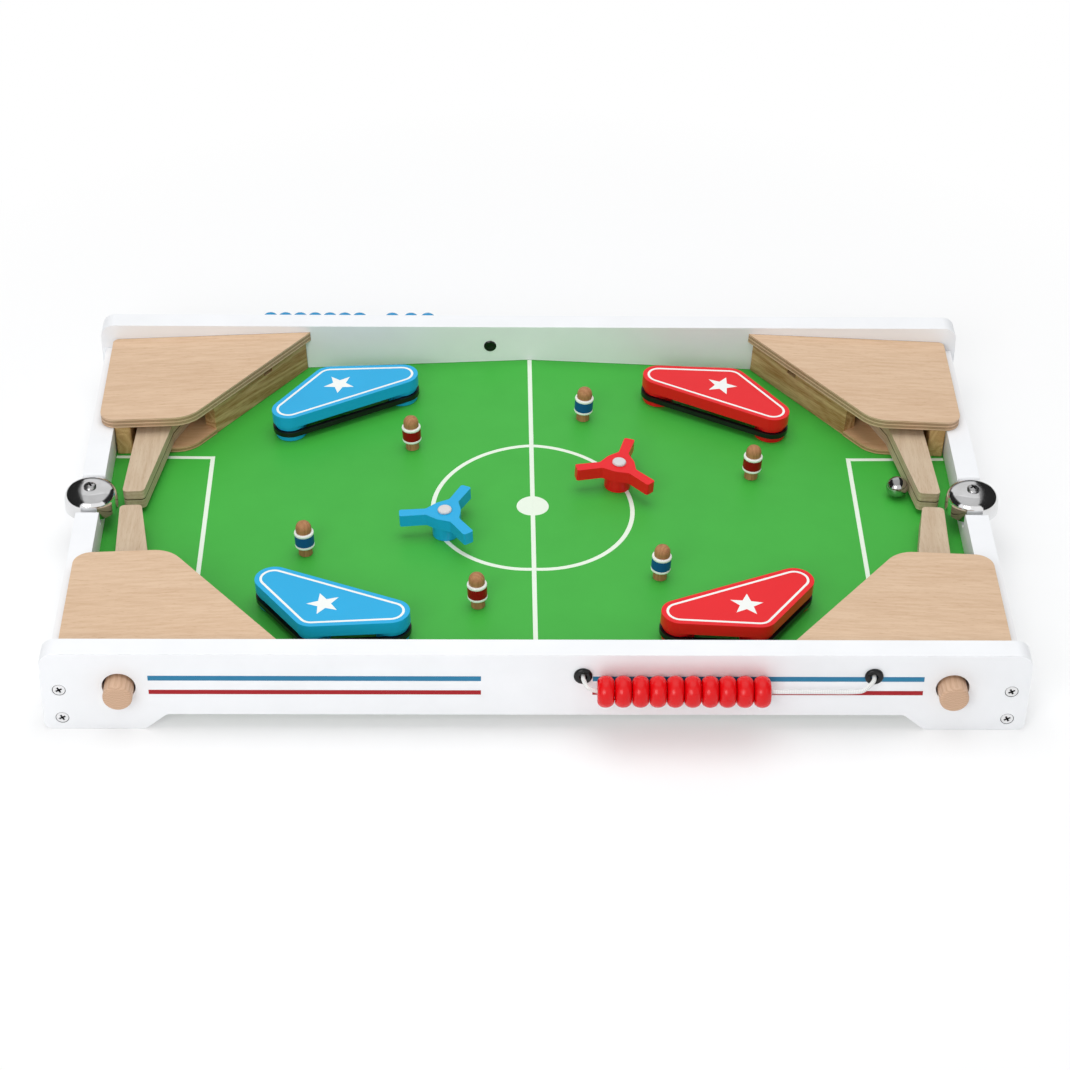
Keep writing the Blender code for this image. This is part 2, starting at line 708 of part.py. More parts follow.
def bumper_rounds(radius):
    """The bumper's three corner discs on the field of the rear right corner."""
    return [
        (across * RAIL_INNER, along * INNER_WALL, radius)
        for across, along in zip(BUMPER_ACROSS_SHARES, BUMPER_ALONG_SHARES)
    ]


def make_bumper(shop, decks, label, side, end, paint, rubber):
    plate_under = BUMPER_HEIGHT - BUMPER_PLATE_THICKNESS
    outline = mirrored(belt(bumper_rounds(BUMPER_CORNER_RADIUS)), side, end)
    bumper = slab(shop, label + "_bumper", outline, plate_under, BUMPER_HEIGHT)
    round_edges(bumper, BUMPER_EDGE_ROUND)
    collar_under = GAP + POST_FOOT_HEIGHT + GAP + BAND_HEIGHT + GAP
    posts = []
    for across, along, _ in bumper_rounds(0):
        post = turned(shop, "post", [
            (0, plate_under + JOIN_OVERLAP),
            (POST_FOOT_RADIUS, plate_under + JOIN_OVERLAP),
            (POST_FOOT_RADIUS, collar_under),
            (POST_NECK_RADIUS, collar_under),
            (POST_NECK_RADIUS, GAP + POST_FOOT_HEIGHT),
            (POST_FOOT_RADIUS, GAP + POST_FOOT_HEIGHT),
            (POST_FOOT_RADIUS, GAP),
            (0, GAP),
        ])
        posts.append(place(post, None, (side * across, end * along, 0)))
    combine(bumper, posts, "UNION")
    place(bumper, decks[side])
    finish(bumper, paint)
    band_under = GAP + POST_FOOT_HEIGHT + GAP
    inner = POST_NECK_RADIUS + GAP
    outer = mirrored(belt(bumper_rounds(inner + BAND_THICKNESS)), side, end)
    band = slab(shop, label + "_bumper_band", outer, band_under, band_under + BAND_HEIGHT)
    round_edges(band, BAND_EDGE_ROUND, 1)
    hollow = mirrored(belt(bumper_rounds(inner)), side, end)
    core = slab(shop, "band_core", hollow, band_under - CUT_OVERRUN, band_under + BAND_HEIGHT + CUT_OVERRUN)
    combine(band, [core], "DIFFERENCE")
    place(band, decks[side])
    finish(band, rubber)


def make_players(shop, decks, wood):
    profile = [
        (r * PLAYER_SHIRT_RADIUS, GAP + h * PLAYER_HEIGHT) for r, h in PLAYER_PROFILE_SHARES
    ]
    peg = turned(shop, "player", profile)
    finish(peg, wood)
    names = ("middle", "outer", "goal")
    for half_label, side in SIDES.items():
        for index, (across, along) in enumerate(PLAYER_PLACE_SHARES):
            end = side if index else -side
            player = copy_of(peg, f"{half_label}_{names[index]}_player", shop)
            place(player, decks[side], (side * across * RAIL_INNER, end * along * INNER_WALL, 0))
    bpy.data.objects.remove(peg)


def spinner_outline():
    rounds = []
    neck = SPINNER_NECK_RADIUS
    tip = SPINNER_TIP_RADIUS
    half = SPINNER_TIP_WIDTH / 2 - tip
    hollow = SPINNER_NECK_WIDTH / 2 + neck
    for arm in range(SPINNER_ARMS):
        turn = 2 * pi * arm / SPINNER_ARMS
        for x, y, radius in (
            (SPINNER_NECK_PLACE, -hollow, -neck),
            (SPINNER_REACH - tip, -half, tip),
            (SPINNER_REACH - tip, half, tip),
            (SPINNER_NECK_PLACE, hollow, -neck),
        ):
            rounds.append((x * cos(turn) - y * sin(turn), x * sin(turn) + y * cos(turn), radius))
        rounds.append((0, 0, SPINNER_HUB_RADIUS))
    return belt(rounds)


def make_spinner(shop, decks, label, side, turn, paint):
    across = side * SPINNER_PLACE_SHARES[0] * RAIL_INNER
    along = side * SPINNER_PLACE_SHARES[1] * INNER_WALL
    under = GAP + SPINDLE_BASE_HEIGHT + GAP
    spinner = slab(shop, label + "_spinner", spinner_outline(), 0, SPINNER_ARM_THICKNESS)
    round_edges(spinner, SPINNER_EDGE_ROUND, 1)
    bore = rod(
        shop, "bore_cutter", SPINDLE_AXLE_RADIUS + PIN_CLEARANCE, -CUT_OVERRUN,
        SPINNER_ARM_THICKNESS + CUT_OVERRUN,
    )
    combine(spinner, [bore], "DIFFERENCE")
    place(spinner, decks[side], (across, along, under), (0, 0, turn))
    finish(spinner, paint)
    cap_under = under + SPINNER_ARM_THICKNESS + GAP
    cap_top = cap_under + SPINDLE_CAP_THICKNESS
    base_top = GAP + SPINDLE_BASE_HEIGHT
    spindle = turned(shop, label + "_spindle", [
        (0, cap_top),
        (SPINDLE_CAP_RADIUS - SPINDLE_CAP_EDGE, cap_top),
        (SPINDLE_CAP_RADIUS, cap_top - SPINDLE_CAP_EDGE),
        (SPINDLE_CAP_RADIUS, cap_under),
        (SPINDLE_AXLE_RADIUS, cap_under),
        (SPINDLE_AXLE_RADIUS, base_top),
        (SPINDLE_BASE_RADIUS, base_top),
        (SPINDLE_BASE_RADIUS, GAP),
        (0, GAP),
    ])
    place(spindle, decks[side], (across, along, 0))
    finish(spindle, paint)


def make_bell(shop, label, side, chrome, steel):
    """A thin dome on a post in the rail's notch, held by a screw through its crown."""
    top = RAIL_TOP + BELL_PROUD
    rim = top - BELL_HEIGHT
    wall = BELL_WALL
    outer = [(BELL_HOLE_RADIUS, top)]
    outer += [(r * BELL_RADIUS, rim + h * BELL_HEIGHT) for r, h in BELL_PROFILE_SHARES]
    inner = []
    for r, h in reversed(BELL_PROFILE_SHARES):
        inner.append((r * (BELL_RADIUS - wall), rim + h * (BELL_HEIGHT - wall)))
    inner.append((BELL_HOLE_RADIUS, top - wall))
    bell = turned(shop, label + "_bell", outer + inner, FINE_TURN_STEPS, ring=True)
    place(bell, None, (side * RAIL_MIDDLE, 0, 0))
    finish(bell, chrome)
    head_top = top + GAP + BELL_SCREW_HEAD_HEIGHT
    post_top = top - wall - GAP
    post = turned(shop, label + "_bell_post", [
        (0, head_top),
        (BELL_SCREW_HEAD_RADIUS - BELL_SCREW_HEAD_EDGE, head_top),
        (BELL_SCREW_HEAD_RADIUS, head_top - BELL_SCREW_HEAD_EDGE),
        (BELL_SCREW_HEAD_RADIUS, top + GAP),
        (BELL_SCREW_RADIUS, top + GAP),
        (BELL_SCREW_RADIUS, post_top),
        (BELL_POST_RADIUS, post_top),
        (BELL_POST_RADIUS, NOTCH_FLOOR + GAP),
        (0, NOTCH_FLOOR + GAP),
    ])
    place(post, None, (side * RAIL_MIDDLE, 0, 0))
    finish(post, steel)


def ball_place():
    """Across and along of the ball that rests against the rear right flipper's blade."""
    tip, root = blade_inner_edge()
    edge = (root - tip).normalized()
    outward = Vector((-edge.y, edge.x))
    touch = tip + edge * BALL_ALONG_FLIPPER
    centre = touch + outward * (BALL_RADIUS + GAP)
    return centre + Vector((PIVOT_ACROSS, FLIPPER_PIVOT_ALONG))


def make_ball(shop, decks, steel):
    centre = ball_place()
    work = bmesh.new()
    bmesh.ops.create_icosphere(work, subdivisions=3, radius=BALL_RADIUS)
    mesh = bpy.data.meshes.new("ball")
    work.to_mesh(mesh)
    work.free()
    ball = bpy.data.objects.new("ball", mesh)
    shop.objects.link(ball)
    place(ball, decks[1], (centre.x, centre.y, GAP + BALL_RADIUS))
    finish(ball, steel)


def bead_profile(count):
    """A bead, or a stack of count beads turned in one, centred on its axis."""
    half = BEAD_PITCH / 2
    end = count * half - GAP / 2
    profile = [(BEAD_BORE_RADIUS, end), (BEAD_PROFILE_SHARES[-1][0] * BEAD_RADIUS, end)]
    for index in range(count):
        middle = (count - 1 - 2 * index) * half
        for share, height in BEAD_PROFILE_SHARES:
            profile.append((share * BEAD_RADIUS, max(-end, middle + height * half)))
    profile.append((BEAD_BORE_RADIUS, -end))
    return profile


def cord_route(drop):
    """Hand-set points of a score cord, on the front plank, from its near eyelet to its far one."""
    route = [Vector((NEAR_EYELET, -INNER_WALL - CORD_RADIUS, EYELET_HEIGHT))]
    for along, out, down in CORD_ROUTE_SHARES:
        x = NEAR_EYELET + along * EYELET_SPACING
        y = -FRAME_DEPTH / 2 - out * (BEAD_OUT - FRAME_DEPTH / 2)
        route.append(Vector((x, y, EYELET_HEIGHT - down * drop)))
    route.append(Vector((NEAR_EYELET + EYELET_SPACING, -INNER_WALL - CORD_RADIUS, EYELET_HEIGHT)))
    return route


def smooth_curve(points, samples):
    """A smooth curve through the points, read at samples places between each two."""
    ends = [2 * points[0] - points[1]] + points + [2 * points[-1] - points[-2]]
    curve = []
    for p0, p1, p2, p3 in zip(ends, ends[1:], ends[2:], ends[3:]):
        for step in range(samples):
            t = step / samples
            curve.append(
                (2 * p1 + (p2 - p0) * t + (2 * p0 - 5 * p1 + 4 * p2 - p3) * t * t
                 + (3 * p1 - p0 - 3 * p2 + p3) * t * t * t) / 2
            )
    return curve + [points[-1]]


def tube(shop, name, points, radius):
    curve = bpy.data.curves.new(name, "CURVE")
    curve.dimensions = "3D"
    curve.bevel_depth = radius
    curve.bevel_resolution = 2
    curve.use_fill_caps = True
    spline = curve.splines.new("POLY")
    spline.points.add(len(points) - 1)
    for point, co in zip(spline.points, points):
        point.co = (*co, 1)
    guide = bpy.data.objects.new(name + "_route", curve)
    shop.objects.link(guide)
    mesh = baked(guide)
    bpy.data.objects.remove(guide)
    bpy.data.curves.remove(curve)
    tidy_mesh(mesh)
    piece = bpy.data.objects.new(name, mesh)
    shop.objects.link(piece)
    return piece


def make_score_cord(shop, label, end, drop, white):
    """The cord of a score row with its two eyelets, which its ends are knotted in."""
    cord = tube(shop, label + "_score_cord", smooth_curve(cord_route(drop), CORD_SAMPLES), CORD_RADIUS)
    rim = GAP + EYELET_RIM_THICKNESS
    barrel_end = CORD_RADIUS - PLANK_THICKNESS
    eyelets = []
    for x in (NEAR_EYELET, NEAR_EYELET + EYELET_SPACING):
        eyelet = turned(shop, "eyelet", [
            (0, rim),
            (EYELET_RIM_RADIUS - EYELET_RIM_EDGE, rim),
            (EYELET_RIM_RADIUS, rim - EYELET_RIM_EDGE),
            (EYELET_RIM_RADIUS, GAP),
            (EYELET_BARREL_RADIUS, GAP),
            (EYELET_BARREL_RADIUS, barrel_end),
            (0, barrel_end),
        ])
        eyelets.append(place(eyelet, None, (x, -FRAME_DEPTH / 2, EYELET_HEIGHT), (pi / 2, 0, 0)))
    combine(cord, eyelets, "UNION")
    place(cord, None, (0, 0, 0), (0, 0, 0 if end < 0 else pi))
    finish(cord, white)


def make_beads(shop, label, end, start, counts, spaces, drop, paint):
    """A row's single beads and its stack, in order from the near eyelet."""
    reach = NEAR_EYELET + start
    number = 0
    for count, space in zip(counts, spaces):
        reach += space * BEAD_PITCH
        number += count == 1
        name = f"{label}_bead_{number}" if count == 1 else f"{label}_bead_stack"
        beads = turned(shop, name, bead_profile(count), ring=True)
        x = reach + count * BEAD_PITCH / 2
        place(beads, None, (-end * x, end * BEAD_OUT, EYELET_HEIGHT - drop), (0, pi / 2, 0))
        finish(beads, paint)
        reach += count * BEAD_PITCH


def main():
    for obj in list(bpy.data.objects):
        bpy.data.objects.remove(obj)
    scene = bpy.context.scene
    shop = bpy.data.collections.new("tabletop_pinball")
    scene.collection.children.link(shop)
    white = add_material("white_paint", (0.88, 0.88, 0.90), 0.35)
    green = add_material("field_green", (0.08, 0.45, 0.07), 0.45)
    ply = add_material("birch_ply", (0.72, 0.52, 0.33), 0.5)
    dowel = add_material("beech_dowel", (0.60, 0.40, 0.24), 0.5)
    pine = add_material("pine", (0.70, 0.52, 0.30), 0.55)
    blue = add_material("blue_paint", (0.04, 0.39, 0.72), 0.3)
    red = add_material("red_paint", (0.75, 0.015, 0.02), 0.3)
    black = add_material("black_rubber", (0.02, 0.02, 0.02), 0.6)
    chrome = add_material("chrome", (0.9, 0.9, 0.9), 0.06, 1.0)
    steel = add_material("steel", (0.75, 0.75, 0.76), 0.15, 1.0)
    cord_white = add_material("white_cord", (0.85, 0.85, 0.83), 0.8)

    make_planks(shop, white)
    make_rails(shop, white)
    make_field(shop, green, pine)
    decks = {
        side: add_empty(shop, label + "_deck", (0, 0, RIDGE_TOP), (0, side * FIELD_SLOPE, 0))
        for label, side in SIDES.items()
    }
    for end_label, end in ENDS.items():
        for side_label, side in SIDES.items():
            label = f"{end_label}_{side_label}"
            make_cover(shop, decks, label, side, end, ply)
            make_guard(shop, decks, label, side, end, ply)
            make_flipper(shop, decks, label, side, end, ply)
            make_return_band(shop, decks, label, side, end, black)
            make_button(shop, decks, label, side, end, dowel)
            make_bumper(shop, decks, label, side, end, blue if side < 0 else red, black)
    make_players(shop, decks, dowel)
    make_spinner(shop, decks, "left", -1, LEFT_SPINNER_TURN, blue)
    make_spinner(shop, decks, "right", 1, RIGHT_SPINNER_TURN, red)
    for label, side in SIDES.items():
        make_bell(shop, label, side, chrome, steel)
    make_ball(shop, decks, steel)
    make_score_cord(shop, "front", -1, FRONT_CORD_DROP, cord_white)
    make_score_cord(shop, "back", 1, BACK_CORD_DROP, cord_white)
    make_beads(
        shop, "front", -1, FRONT_ROW_START, FRONT_BEAD_COUNTS, FRONT_SPACE_SHARES, FRONT_CORD_DROP, red,
    )
    make_beads(shop, "back", 1, BACK_ROW_START, BACK_BEAD_COUNTS, BACK_SPACE_SHARES, BACK_CORD_DROP, blue)


main()
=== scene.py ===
"""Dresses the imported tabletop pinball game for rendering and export, in metres, +Z up.

The game stands on z = 0 with a player at each long side. The field falls away from a ridge at
x = 0 towards the two short ends, and what stands on it is laid out on that slope: across (away
from the ridge), along (world y) and above the field's face.
"""

from math import acos, atan2, ceil, cos, hypot, pi, radians, sin, tan

import bmesh
import bpy
from bpy.props import FloatProperty, FloatVectorProperty, IntProperty, PointerProperty
from mathutils import Matrix, Vector


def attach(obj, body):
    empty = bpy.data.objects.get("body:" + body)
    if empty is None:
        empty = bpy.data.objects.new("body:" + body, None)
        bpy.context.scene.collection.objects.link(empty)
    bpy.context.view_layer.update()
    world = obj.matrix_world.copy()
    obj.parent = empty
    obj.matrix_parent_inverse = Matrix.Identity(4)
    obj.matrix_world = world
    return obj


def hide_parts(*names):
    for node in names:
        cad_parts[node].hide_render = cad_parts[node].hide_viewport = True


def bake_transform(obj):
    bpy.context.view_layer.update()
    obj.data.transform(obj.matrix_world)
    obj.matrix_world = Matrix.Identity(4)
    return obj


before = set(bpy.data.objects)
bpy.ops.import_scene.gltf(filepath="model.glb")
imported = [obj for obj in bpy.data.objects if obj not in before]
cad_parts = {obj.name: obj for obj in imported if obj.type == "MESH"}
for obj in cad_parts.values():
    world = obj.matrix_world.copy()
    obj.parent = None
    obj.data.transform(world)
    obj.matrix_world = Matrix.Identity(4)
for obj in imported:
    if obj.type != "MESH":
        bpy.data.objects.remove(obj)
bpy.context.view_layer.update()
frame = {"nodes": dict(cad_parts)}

bl_info = {
    "name": "Tabletop Pinball Game",
    "version": (1, 0, 0),
    "blender": (4, 5, 0),
    "location": "3D View > Sidebar > Pinball",
    "description": "Builds the finished look of a wooden tabletop pinball game round its packed frame",
    "category": "Add Mesh",
}

# Fits and facets
GAP = 0.0003
WELD = 0.00001
CUT_OVERRUN = 0.004
ARC_STEP = radians(7)
PRINT_THICKNESS = 0.00012

# Side planks
PLANK_LENGTH = 0.720
PLANK_HEIGHT = 0.070
PLANK_THICKNESS = 0.018
PLANK_CORNER_RADIUS = 0.011
FRAME_DEPTH = 0.452
FOOT_LENGTH = 0.074
FOOT_SLOPE_RUN = 0.016
FOOT_HEIGHT = 0.0138
FOOT_CORNER_RADIUS = 0.006
SCREW_PLACES = ((0.347, 0.0363), (0.3465, 0.0103))
STRIPE_ENDS = (0.0406, 0.282)
STRIPE_HEIGHTS = {"blue": 0.048, "red": 0.035}
STRIPE_WIDTH_SHARES = {"blue": 1.0, "red": 0.9}

# End rails
RAIL_THICKNESS = 0.018
RAIL_TOP = 0.0484
RAIL_BOTTOM = 0.0024
RAIL_SETBACK = 0.0037
NOTCH_WIDTH = 0.047
NOTCH_DEPTH = 0.0154
NOTCH_CORNER_RADIUS = 0.003

# Playing field
FIELD_SLOPE = radians(2.7)
RIDGE_TOP = 0.0372
FIELD_THICKNESS = 0.005
GROOVE_DEPTH = 0.005
CENTRE_CIRCLE_REACH = (0.079, 0.082)
CENTRE_DOT_RADIUS = 0.0127
GOAL_BOX_ACROSS = 0.259
GOAL_BOX_REAR = (0.081, 0.087)
GOAL_BOX_FRONT = (-0.081, -0.081)

# Corner covers and the guards under them
COVER_THICKNESS = 0.008
COVER_RAIL_LAP = 0.0099
COVER_APEX_REACH = 0.1655
COVER_MOUTH_REACH = 0.0725
COVER_LENGTH = 0.1200
COVER_MOUTH_RADIUS = 0.026
COVER_CORNER_RADIUS = 0.013
COVER_BACK_RADIUS = 0.005
GUARD_BASE_THICKNESS = 0.0042
GUARD_SETBACK = 0.003
GUARD_RIM = 0.0006
SLANT_BLOCK_THICKNESS = 0.012
SLANT_BLOCK_START = 0.0325
END_BLOCK_WIDTH = 0.013
END_BLOCK_LENGTH = 0.100
END_BLOCK_RADIUS = 0.002
PIN_RADIUS = 0.003
PIN_CLEARANCE = 0.0003
POCKET_PLACE_SHARE = 0.59
POCKET_NOTCH_RADIUS = 0.0028
ANCHOR_PEG_RADIUS = 0.0016

# Flippers and their return bands
FLIPPER_THICKNESS = 0.0165
FLIPPER_LENGTH = 0.126
FLIPPER_TIP_WIDTH = 0.0175
FLIPPER_TIP_OFFSET = 0.0208
FLIPPER_TIP_RADIUS = 0.0038
FLIPPER_ROOT_LENGTH = 0.037
FLIPPER_ROOT_WIDTH = 0.0283
FLIPPER_ROOT_OFFSET = 0.0064
FLIPPER_HUB_RADIUS = 0.008
FLIPPER_PAD_RADIUS = 0.008
FLIPPER_SWING = radians(35)
LEVER_LENGTH = 0.020
TIP_GAP = 0.018
HOOK_HEIGHT = 0.0045
HOOK_RADIUS = 0.002
HOOK_ACROSS_SHARE = 0.5
HOOK_ALONG_SHARE = 0.74
RETURN_BAND_RADIUS = 0.0011
SEAM_HALF_WIDTH = 0.0005

# Push buttons
BUTTON_RADIUS = 0.0108
BUTTON_PROUD = 0.013
BUTTON_HOLE_CLEARANCE = 0.0015
BUTTON_EDGE_ROUND = 0.0024
BUTTON_TOUCH_GAP = 0.0006
CROSS_PIN_RADIUS = 0.0016
CROSS_PIN_LENGTH = 0.028
CROSS_PIN_INSET = 0.0035
CROSS_PIN_ROOM = 0.008

# Corner bumpers
BUMPER_HEIGHT = 0.024
BUMPER_PLATE_THICKNESS = 0.010
BUMPER_CORNER_RADIUS = 0.0142
POST_FOOT_RADIUS = 0.0125
POST_FOOT_HEIGHT = 0.0045
POST_NECK_RADIUS = 0.0108
BUMPER_ACROSS_SHARES = (0.581, 0.488, 0.315)
BUMPER_ALONG_SHARES = (0.5425, 0.762, 0.758)
BAND_HEIGHT = 0.0042
BAND_THICKNESS = 0.0034
BAND_EDGE_ROUND = 0.0012
POST_EDGE_ROUND = 0.0008
STAR_PLACE = (0.157, 0.146)
STAR_INNER_SHARE = 0.42
STAR_TURNS = {
    "rear_left": radians(176), "rear_right": radians(195), "front_left": radians(15), "front_right": radians(-4),
}

# Turned players
PLAYER_HEIGHT = 0.030
PLAYER_SHIRT_RADIUS = 0.0077
PLAYER_HEAD_SHARES = (
    (0, 1.0), (0.22, 0.995), (0.42, 0.978), (0.58, 0.95), (0.70, 0.908), (0.77, 0.862), (0.80, 0.81),
    (0.80, 0.755), (0.785, 0.70),
)
PLAYER_BODY_SHARES = ((0.69, 0.25), (0.688, 0.18), (0.69, 0.10), (0.695, 0.04), (0.70, 0))
PLAYER_TRIM_SHARES = ((0.90, 0), (0.95, 0.08), (0.982, 0.24), (1.0, 0.52), (0.985, 0.86), (0.955, 1.0))
PLAYER_PLACE_SHARES = ((0.2855, 0.412), (0.1268, 0.597), (0.5227, 0.2475))
SHIRT_TOP_SHARE = 0.70
SHIRT_UNDER_SHARE = 0.25
SHIRT_TRIM_SHARE = 0.077

# Spinners
SPINNER_REACH = 0.0355
SPINNER_HUB_RADIUS = 0.0124
SPINNER_ARMS = 3
SPINNER_ARM_THICKNESS = 0.010
SPINNER_NECK_WIDTH = 0.0080
SPINNER_TIP_WIDTH = 0.0086
SPINNER_TIP_RADIUS = 0.0018
SPINNER_NECK_RADIUS = 0.0035
SPINNER_NECK_PLACE = 0.0160
SPINDLE_BASE_RADIUS = 0.0105
SPINDLE_BASE_HEIGHT = 0.0115
SPINDLE_AXLE_RADIUS = 0.003
SPINDLE_CAP_RADIUS = 0.0055
SPINDLE_CAP_THICKNESS = 0.002
SPINDLE_CAP_ROUND = 0.0014
SPINNER_PLACE_SHARES = (0.201, 0.1545)
SPINNER_TURNS = {"left": radians(62), "right": radians(74)}

# Bells
BELL_RADIUS = 0.021
BELL_HEIGHT = 0.018
BELL_WALL = 0.0012
BELL_PROUD = 0.0062
BELL_HOLE_RADIUS = 0.0026
BELL_PROFILE_SHARES = (
    (0.124, 1.0), (0.30, 0.997), (0.48, 0.985), (0.62, 0.955), (0.76, 0.90), (0.85, 0.83), (0.92, 0.735),
    (0.96, 0.62), (0.985, 0.48), (0.997, 0.25), (1.0, 0),
)
BELL_POST_RADIUS = 0.005
BELL_SCREW_RADIUS = 0.0022
BELL_SCREW_HEAD_RADIUS = 0.005
BELL_SCREW_HEAD_HEIGHT = 0.0024

# Ball
BALL_RADIUS = 0.00873
BALL_ALONG_FLIPPER = 0.026

# Score rows
BEAD_RADIUS = 0.01165
BEAD_PITCH = 0.0126
BEAD_BORE_RADIUS = 0.0026
BEAD_FACE_SHARE = 0.60
EYELET_HEIGHT = 0.0512
NEAR_EYELET = 0.0334
EYELET_SPACING = 0.2116
EYELET_RIM_RADIUS = 0.0068
EYELET_RIM_THICKNESS = 0.0022
EYELET_BARREL_RADIUS = 0.0035
EYELET_BORE_RADIUS = 0.0024
EYELET_BACK_RADIUS = 0.0052
EYELET_BACK_THICKNESS = 0.0009
CORD_RADIUS = 0.0016
CORD_SAMPLES = 8
CORD_ROUTE_SHARES = (
    (0, 0, 0), (0.002, 0.45, 0.06), (0.016, 0.87, 0.5), (0.049, 1, 0.93), (0.103, 1, 1),
    (0.24, 1, 1), (0.38, 1, 1), (0.52, 1, 1), (0.66, 1, 1), (0.80, 1, 1),
    (0.93, 1, 0.97), (0.965, 0.93, 0.66), (0.994, 0.5, 0.12), (1, 0, 0),
)
CORD_DROPS = {"front": 0.0052, "back": 0.0}
ROW_STARTS = {"front": 0.0099, "back": 0.0467}
BEAD_COUNTS = {"front": (7, 1, 1, 1), "back": (1, 1, 1, 7)}
SPACE_SHARES = {"front": (0, 0, 0, 0), "back": (0, 0.135, 0.262, 1.198)}

# Worked out from the sizes above
HALF_LENGTH = PLANK_LENGTH / 2
INNER_WALL = FRAME_DEPTH / 2 - PLANK_THICKNESS
OUTER_FACE = FRAME_DEPTH / 2
RAIL_OUTER = HALF_LENGTH - RAIL_SETBACK
RAIL_INNER = RAIL_OUTER - RAIL_THICKNESS
RAIL_MIDDLE = RAIL_OUTER - RAIL_THICKNESS / 2
NOTCH_FLOOR = RAIL_TOP - NOTCH_DEPTH
COVER_OUTER = (RAIL_INNER + COVER_RAIL_LAP) / cos(FIELD_SLOPE) - GAP
COVER_UNDER = (RAIL_TOP + GAP - RIDGE_TOP) * cos(FIELD_SLOPE) + COVER_OUTER * sin(FIELD_SLOPE)
COVER_TOP = COVER_UNDER + COVER_THICKNESS
GUARD_TOP = COVER_UNDER - GAP
GUARD_BASE_TOP = GAP + GUARD_BASE_THICKNESS
FLIPPER_UNDER = GUARD_BASE_TOP + GAP
FLIPPER_TOP = FLIPPER_UNDER + FLIPPER_THICKNESS
BUTTON_ABOVE = GUARD_BASE_TOP + GAP + BUTTON_RADIUS
LEVER_REACH = LEVER_LENGTH * (1 + cos(FLIPPER_SWING)) / 2
COVER_NEAR_EDGE = INNER_WALL - COVER_LENGTH
FLIPPER_PIVOT_ALONG = TIP_GAP / 2 + FLIPPER_LENGTH
GUARD_OUTER = RAIL_INNER - GAP
BUTTON_ACROSS = GUARD_OUTER - END_BLOCK_WIDTH - CROSS_PIN_ROOM - CROSS_PIN_LENGTH / 2
PIVOT_ACROSS = BUTTON_ACROSS - LEVER_REACH
BEAD_OUT = OUTER_FACE + GAP + BEAD_RADIUS
SPINNER_UNDER = GAP + SPINDLE_BASE_HEIGHT + GAP
SPINDLE_CAP_UNDER = SPINNER_UNDER + SPINNER_ARM_THICKNESS + GAP

SIDES = {"left": -1, "right": 1}
ENDS = {"rear": 1, "front": -1}
TEAM_COLOURS = {"left": "blue", "right": "red"}
PLAYER_NAMES = ("middle", "outer", "goal")
PLAYER_COLOURS = {"left": ("red", "red", "blue"), "right": ("blue", "blue", "red")}

# Camera, as the photograph was taken
CAMERA_PLACE = (-0.0424, -1.8518, 1.4037)
CAMERA_TILT = -0.6458
CAMERA_TURN = -0.0172
CAMERA_ROLL = -0.0034
CAMERA_LENS = 98.05
CAMERA_SENSOR = 36.0

# Studio
PANELS = (
    ("sky_panel", (0.0, 0.2, 2.6), 2.6, 34.0),
    ("front_panel", (-0.9, -2.2, 1.5), 1.4, 22.0),
)
PANEL_AIM = (0.0, 0.0, 0.03)
FLOOR_REACH = 4.0
FLOOR_DROP = 0.0002
FLOOR_WHITE = 0.96
FLOOR_FADE = (0.43, 0.72)
FLOOR_NEAR_GLOW = 0.3
AMBIENT_COLOUR = (0.97, 0.985, 1.0, 1)
AMBIENT_STRENGTH = 0.52
FLAG_BLACK = 0.02
GREY_FLAG_REACH = 3.4
GREY_FLAG_DEGREES = 118
GREY_FLAG_COLUMNS = 48
GREY_FLAG_HEIGHTS = (0.02, 2.2, 4.4)
CANOPY_REACH = 1.7
CANOPY_HEIGHT = 2.45
BLACK_FLAG_ACROSS = 0.78
BLACK_FLAG_ALONG = (-0.5, 1.9)
BLACK_FLAG_HEIGHTS = (0.02, 1.4)


def from_screen(red, green, blue):
    """A scene-linear colour from the 0 to 255 values that a screen shows."""
    linear = []
    for value in (red, green, blue):
        share = value / 255
        linear.append(share / 12.92 if share <= 0.04045 else ((share + 0.055) / 1.055) ** 2.4)
    return tuple(linear)


def colour_property(name, description, *screen):
    return FloatVectorProperty(
        name=name, description=description, default=from_screen(*screen), subtype="COLOR",
        size=3, min=0.0, max=1.0,
    )


def length_property(name, description, default):
    return FloatProperty(name=name, description=description, default=default, min=0.0, unit="LENGTH")


class PinballSizes(bpy.types.PropertyGroup):
    """Sizes of the finish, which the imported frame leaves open."""

    turning_steps: IntProperty(
        name="Turning steps", description="Facets round a turned piece", default=72, min=12, max=256,
    )
    plank_edge: length_property("Plank edge", "Rounding along the planks' edges", 0.0022)
    rail_edge: length_property("Rail edge", "Rounding along the end rails' edges", 0.0018)
    ply_edge: length_property("Ply edge", "Rounding along the covers' and flippers' edges", 0.0008)
    bumper_edge: length_property("Bumper edge", "Rounding along the bumper plates' edges", 0.0040)
    spinner_edge: length_property("Spinner edge", "Rounding along the spinners' edges", 0.0014)
    field_line: length_property("Field line", "Width of the field's white lines", 0.0035)
    stripe: length_property("Stripe", "Width of the upper stripe on the planks", 0.0044)
    inlay_inset: length_property("Inlay inset", "From a bumper's edge to its white line", 0.0047)
    inlay_width: length_property("Inlay width", "Width of a bumper's white line", 0.0019)
    star_reach: length_property("Star reach", "From a star's middle to its points", 0.0130)
    screw_radius: length_property("Screw radius", "Radius of the planks' screw heads", 0.0045)
    # The gap shows as a dark ring through a painted shade piece at its bottom.
    sink_room: length_property("Sink room", "Dark ring left round the planks' screw heads", 0.0005)
    sink_depth: length_property("Sink depth", "Depth of the holes that the screw heads lie in", 0.0014)


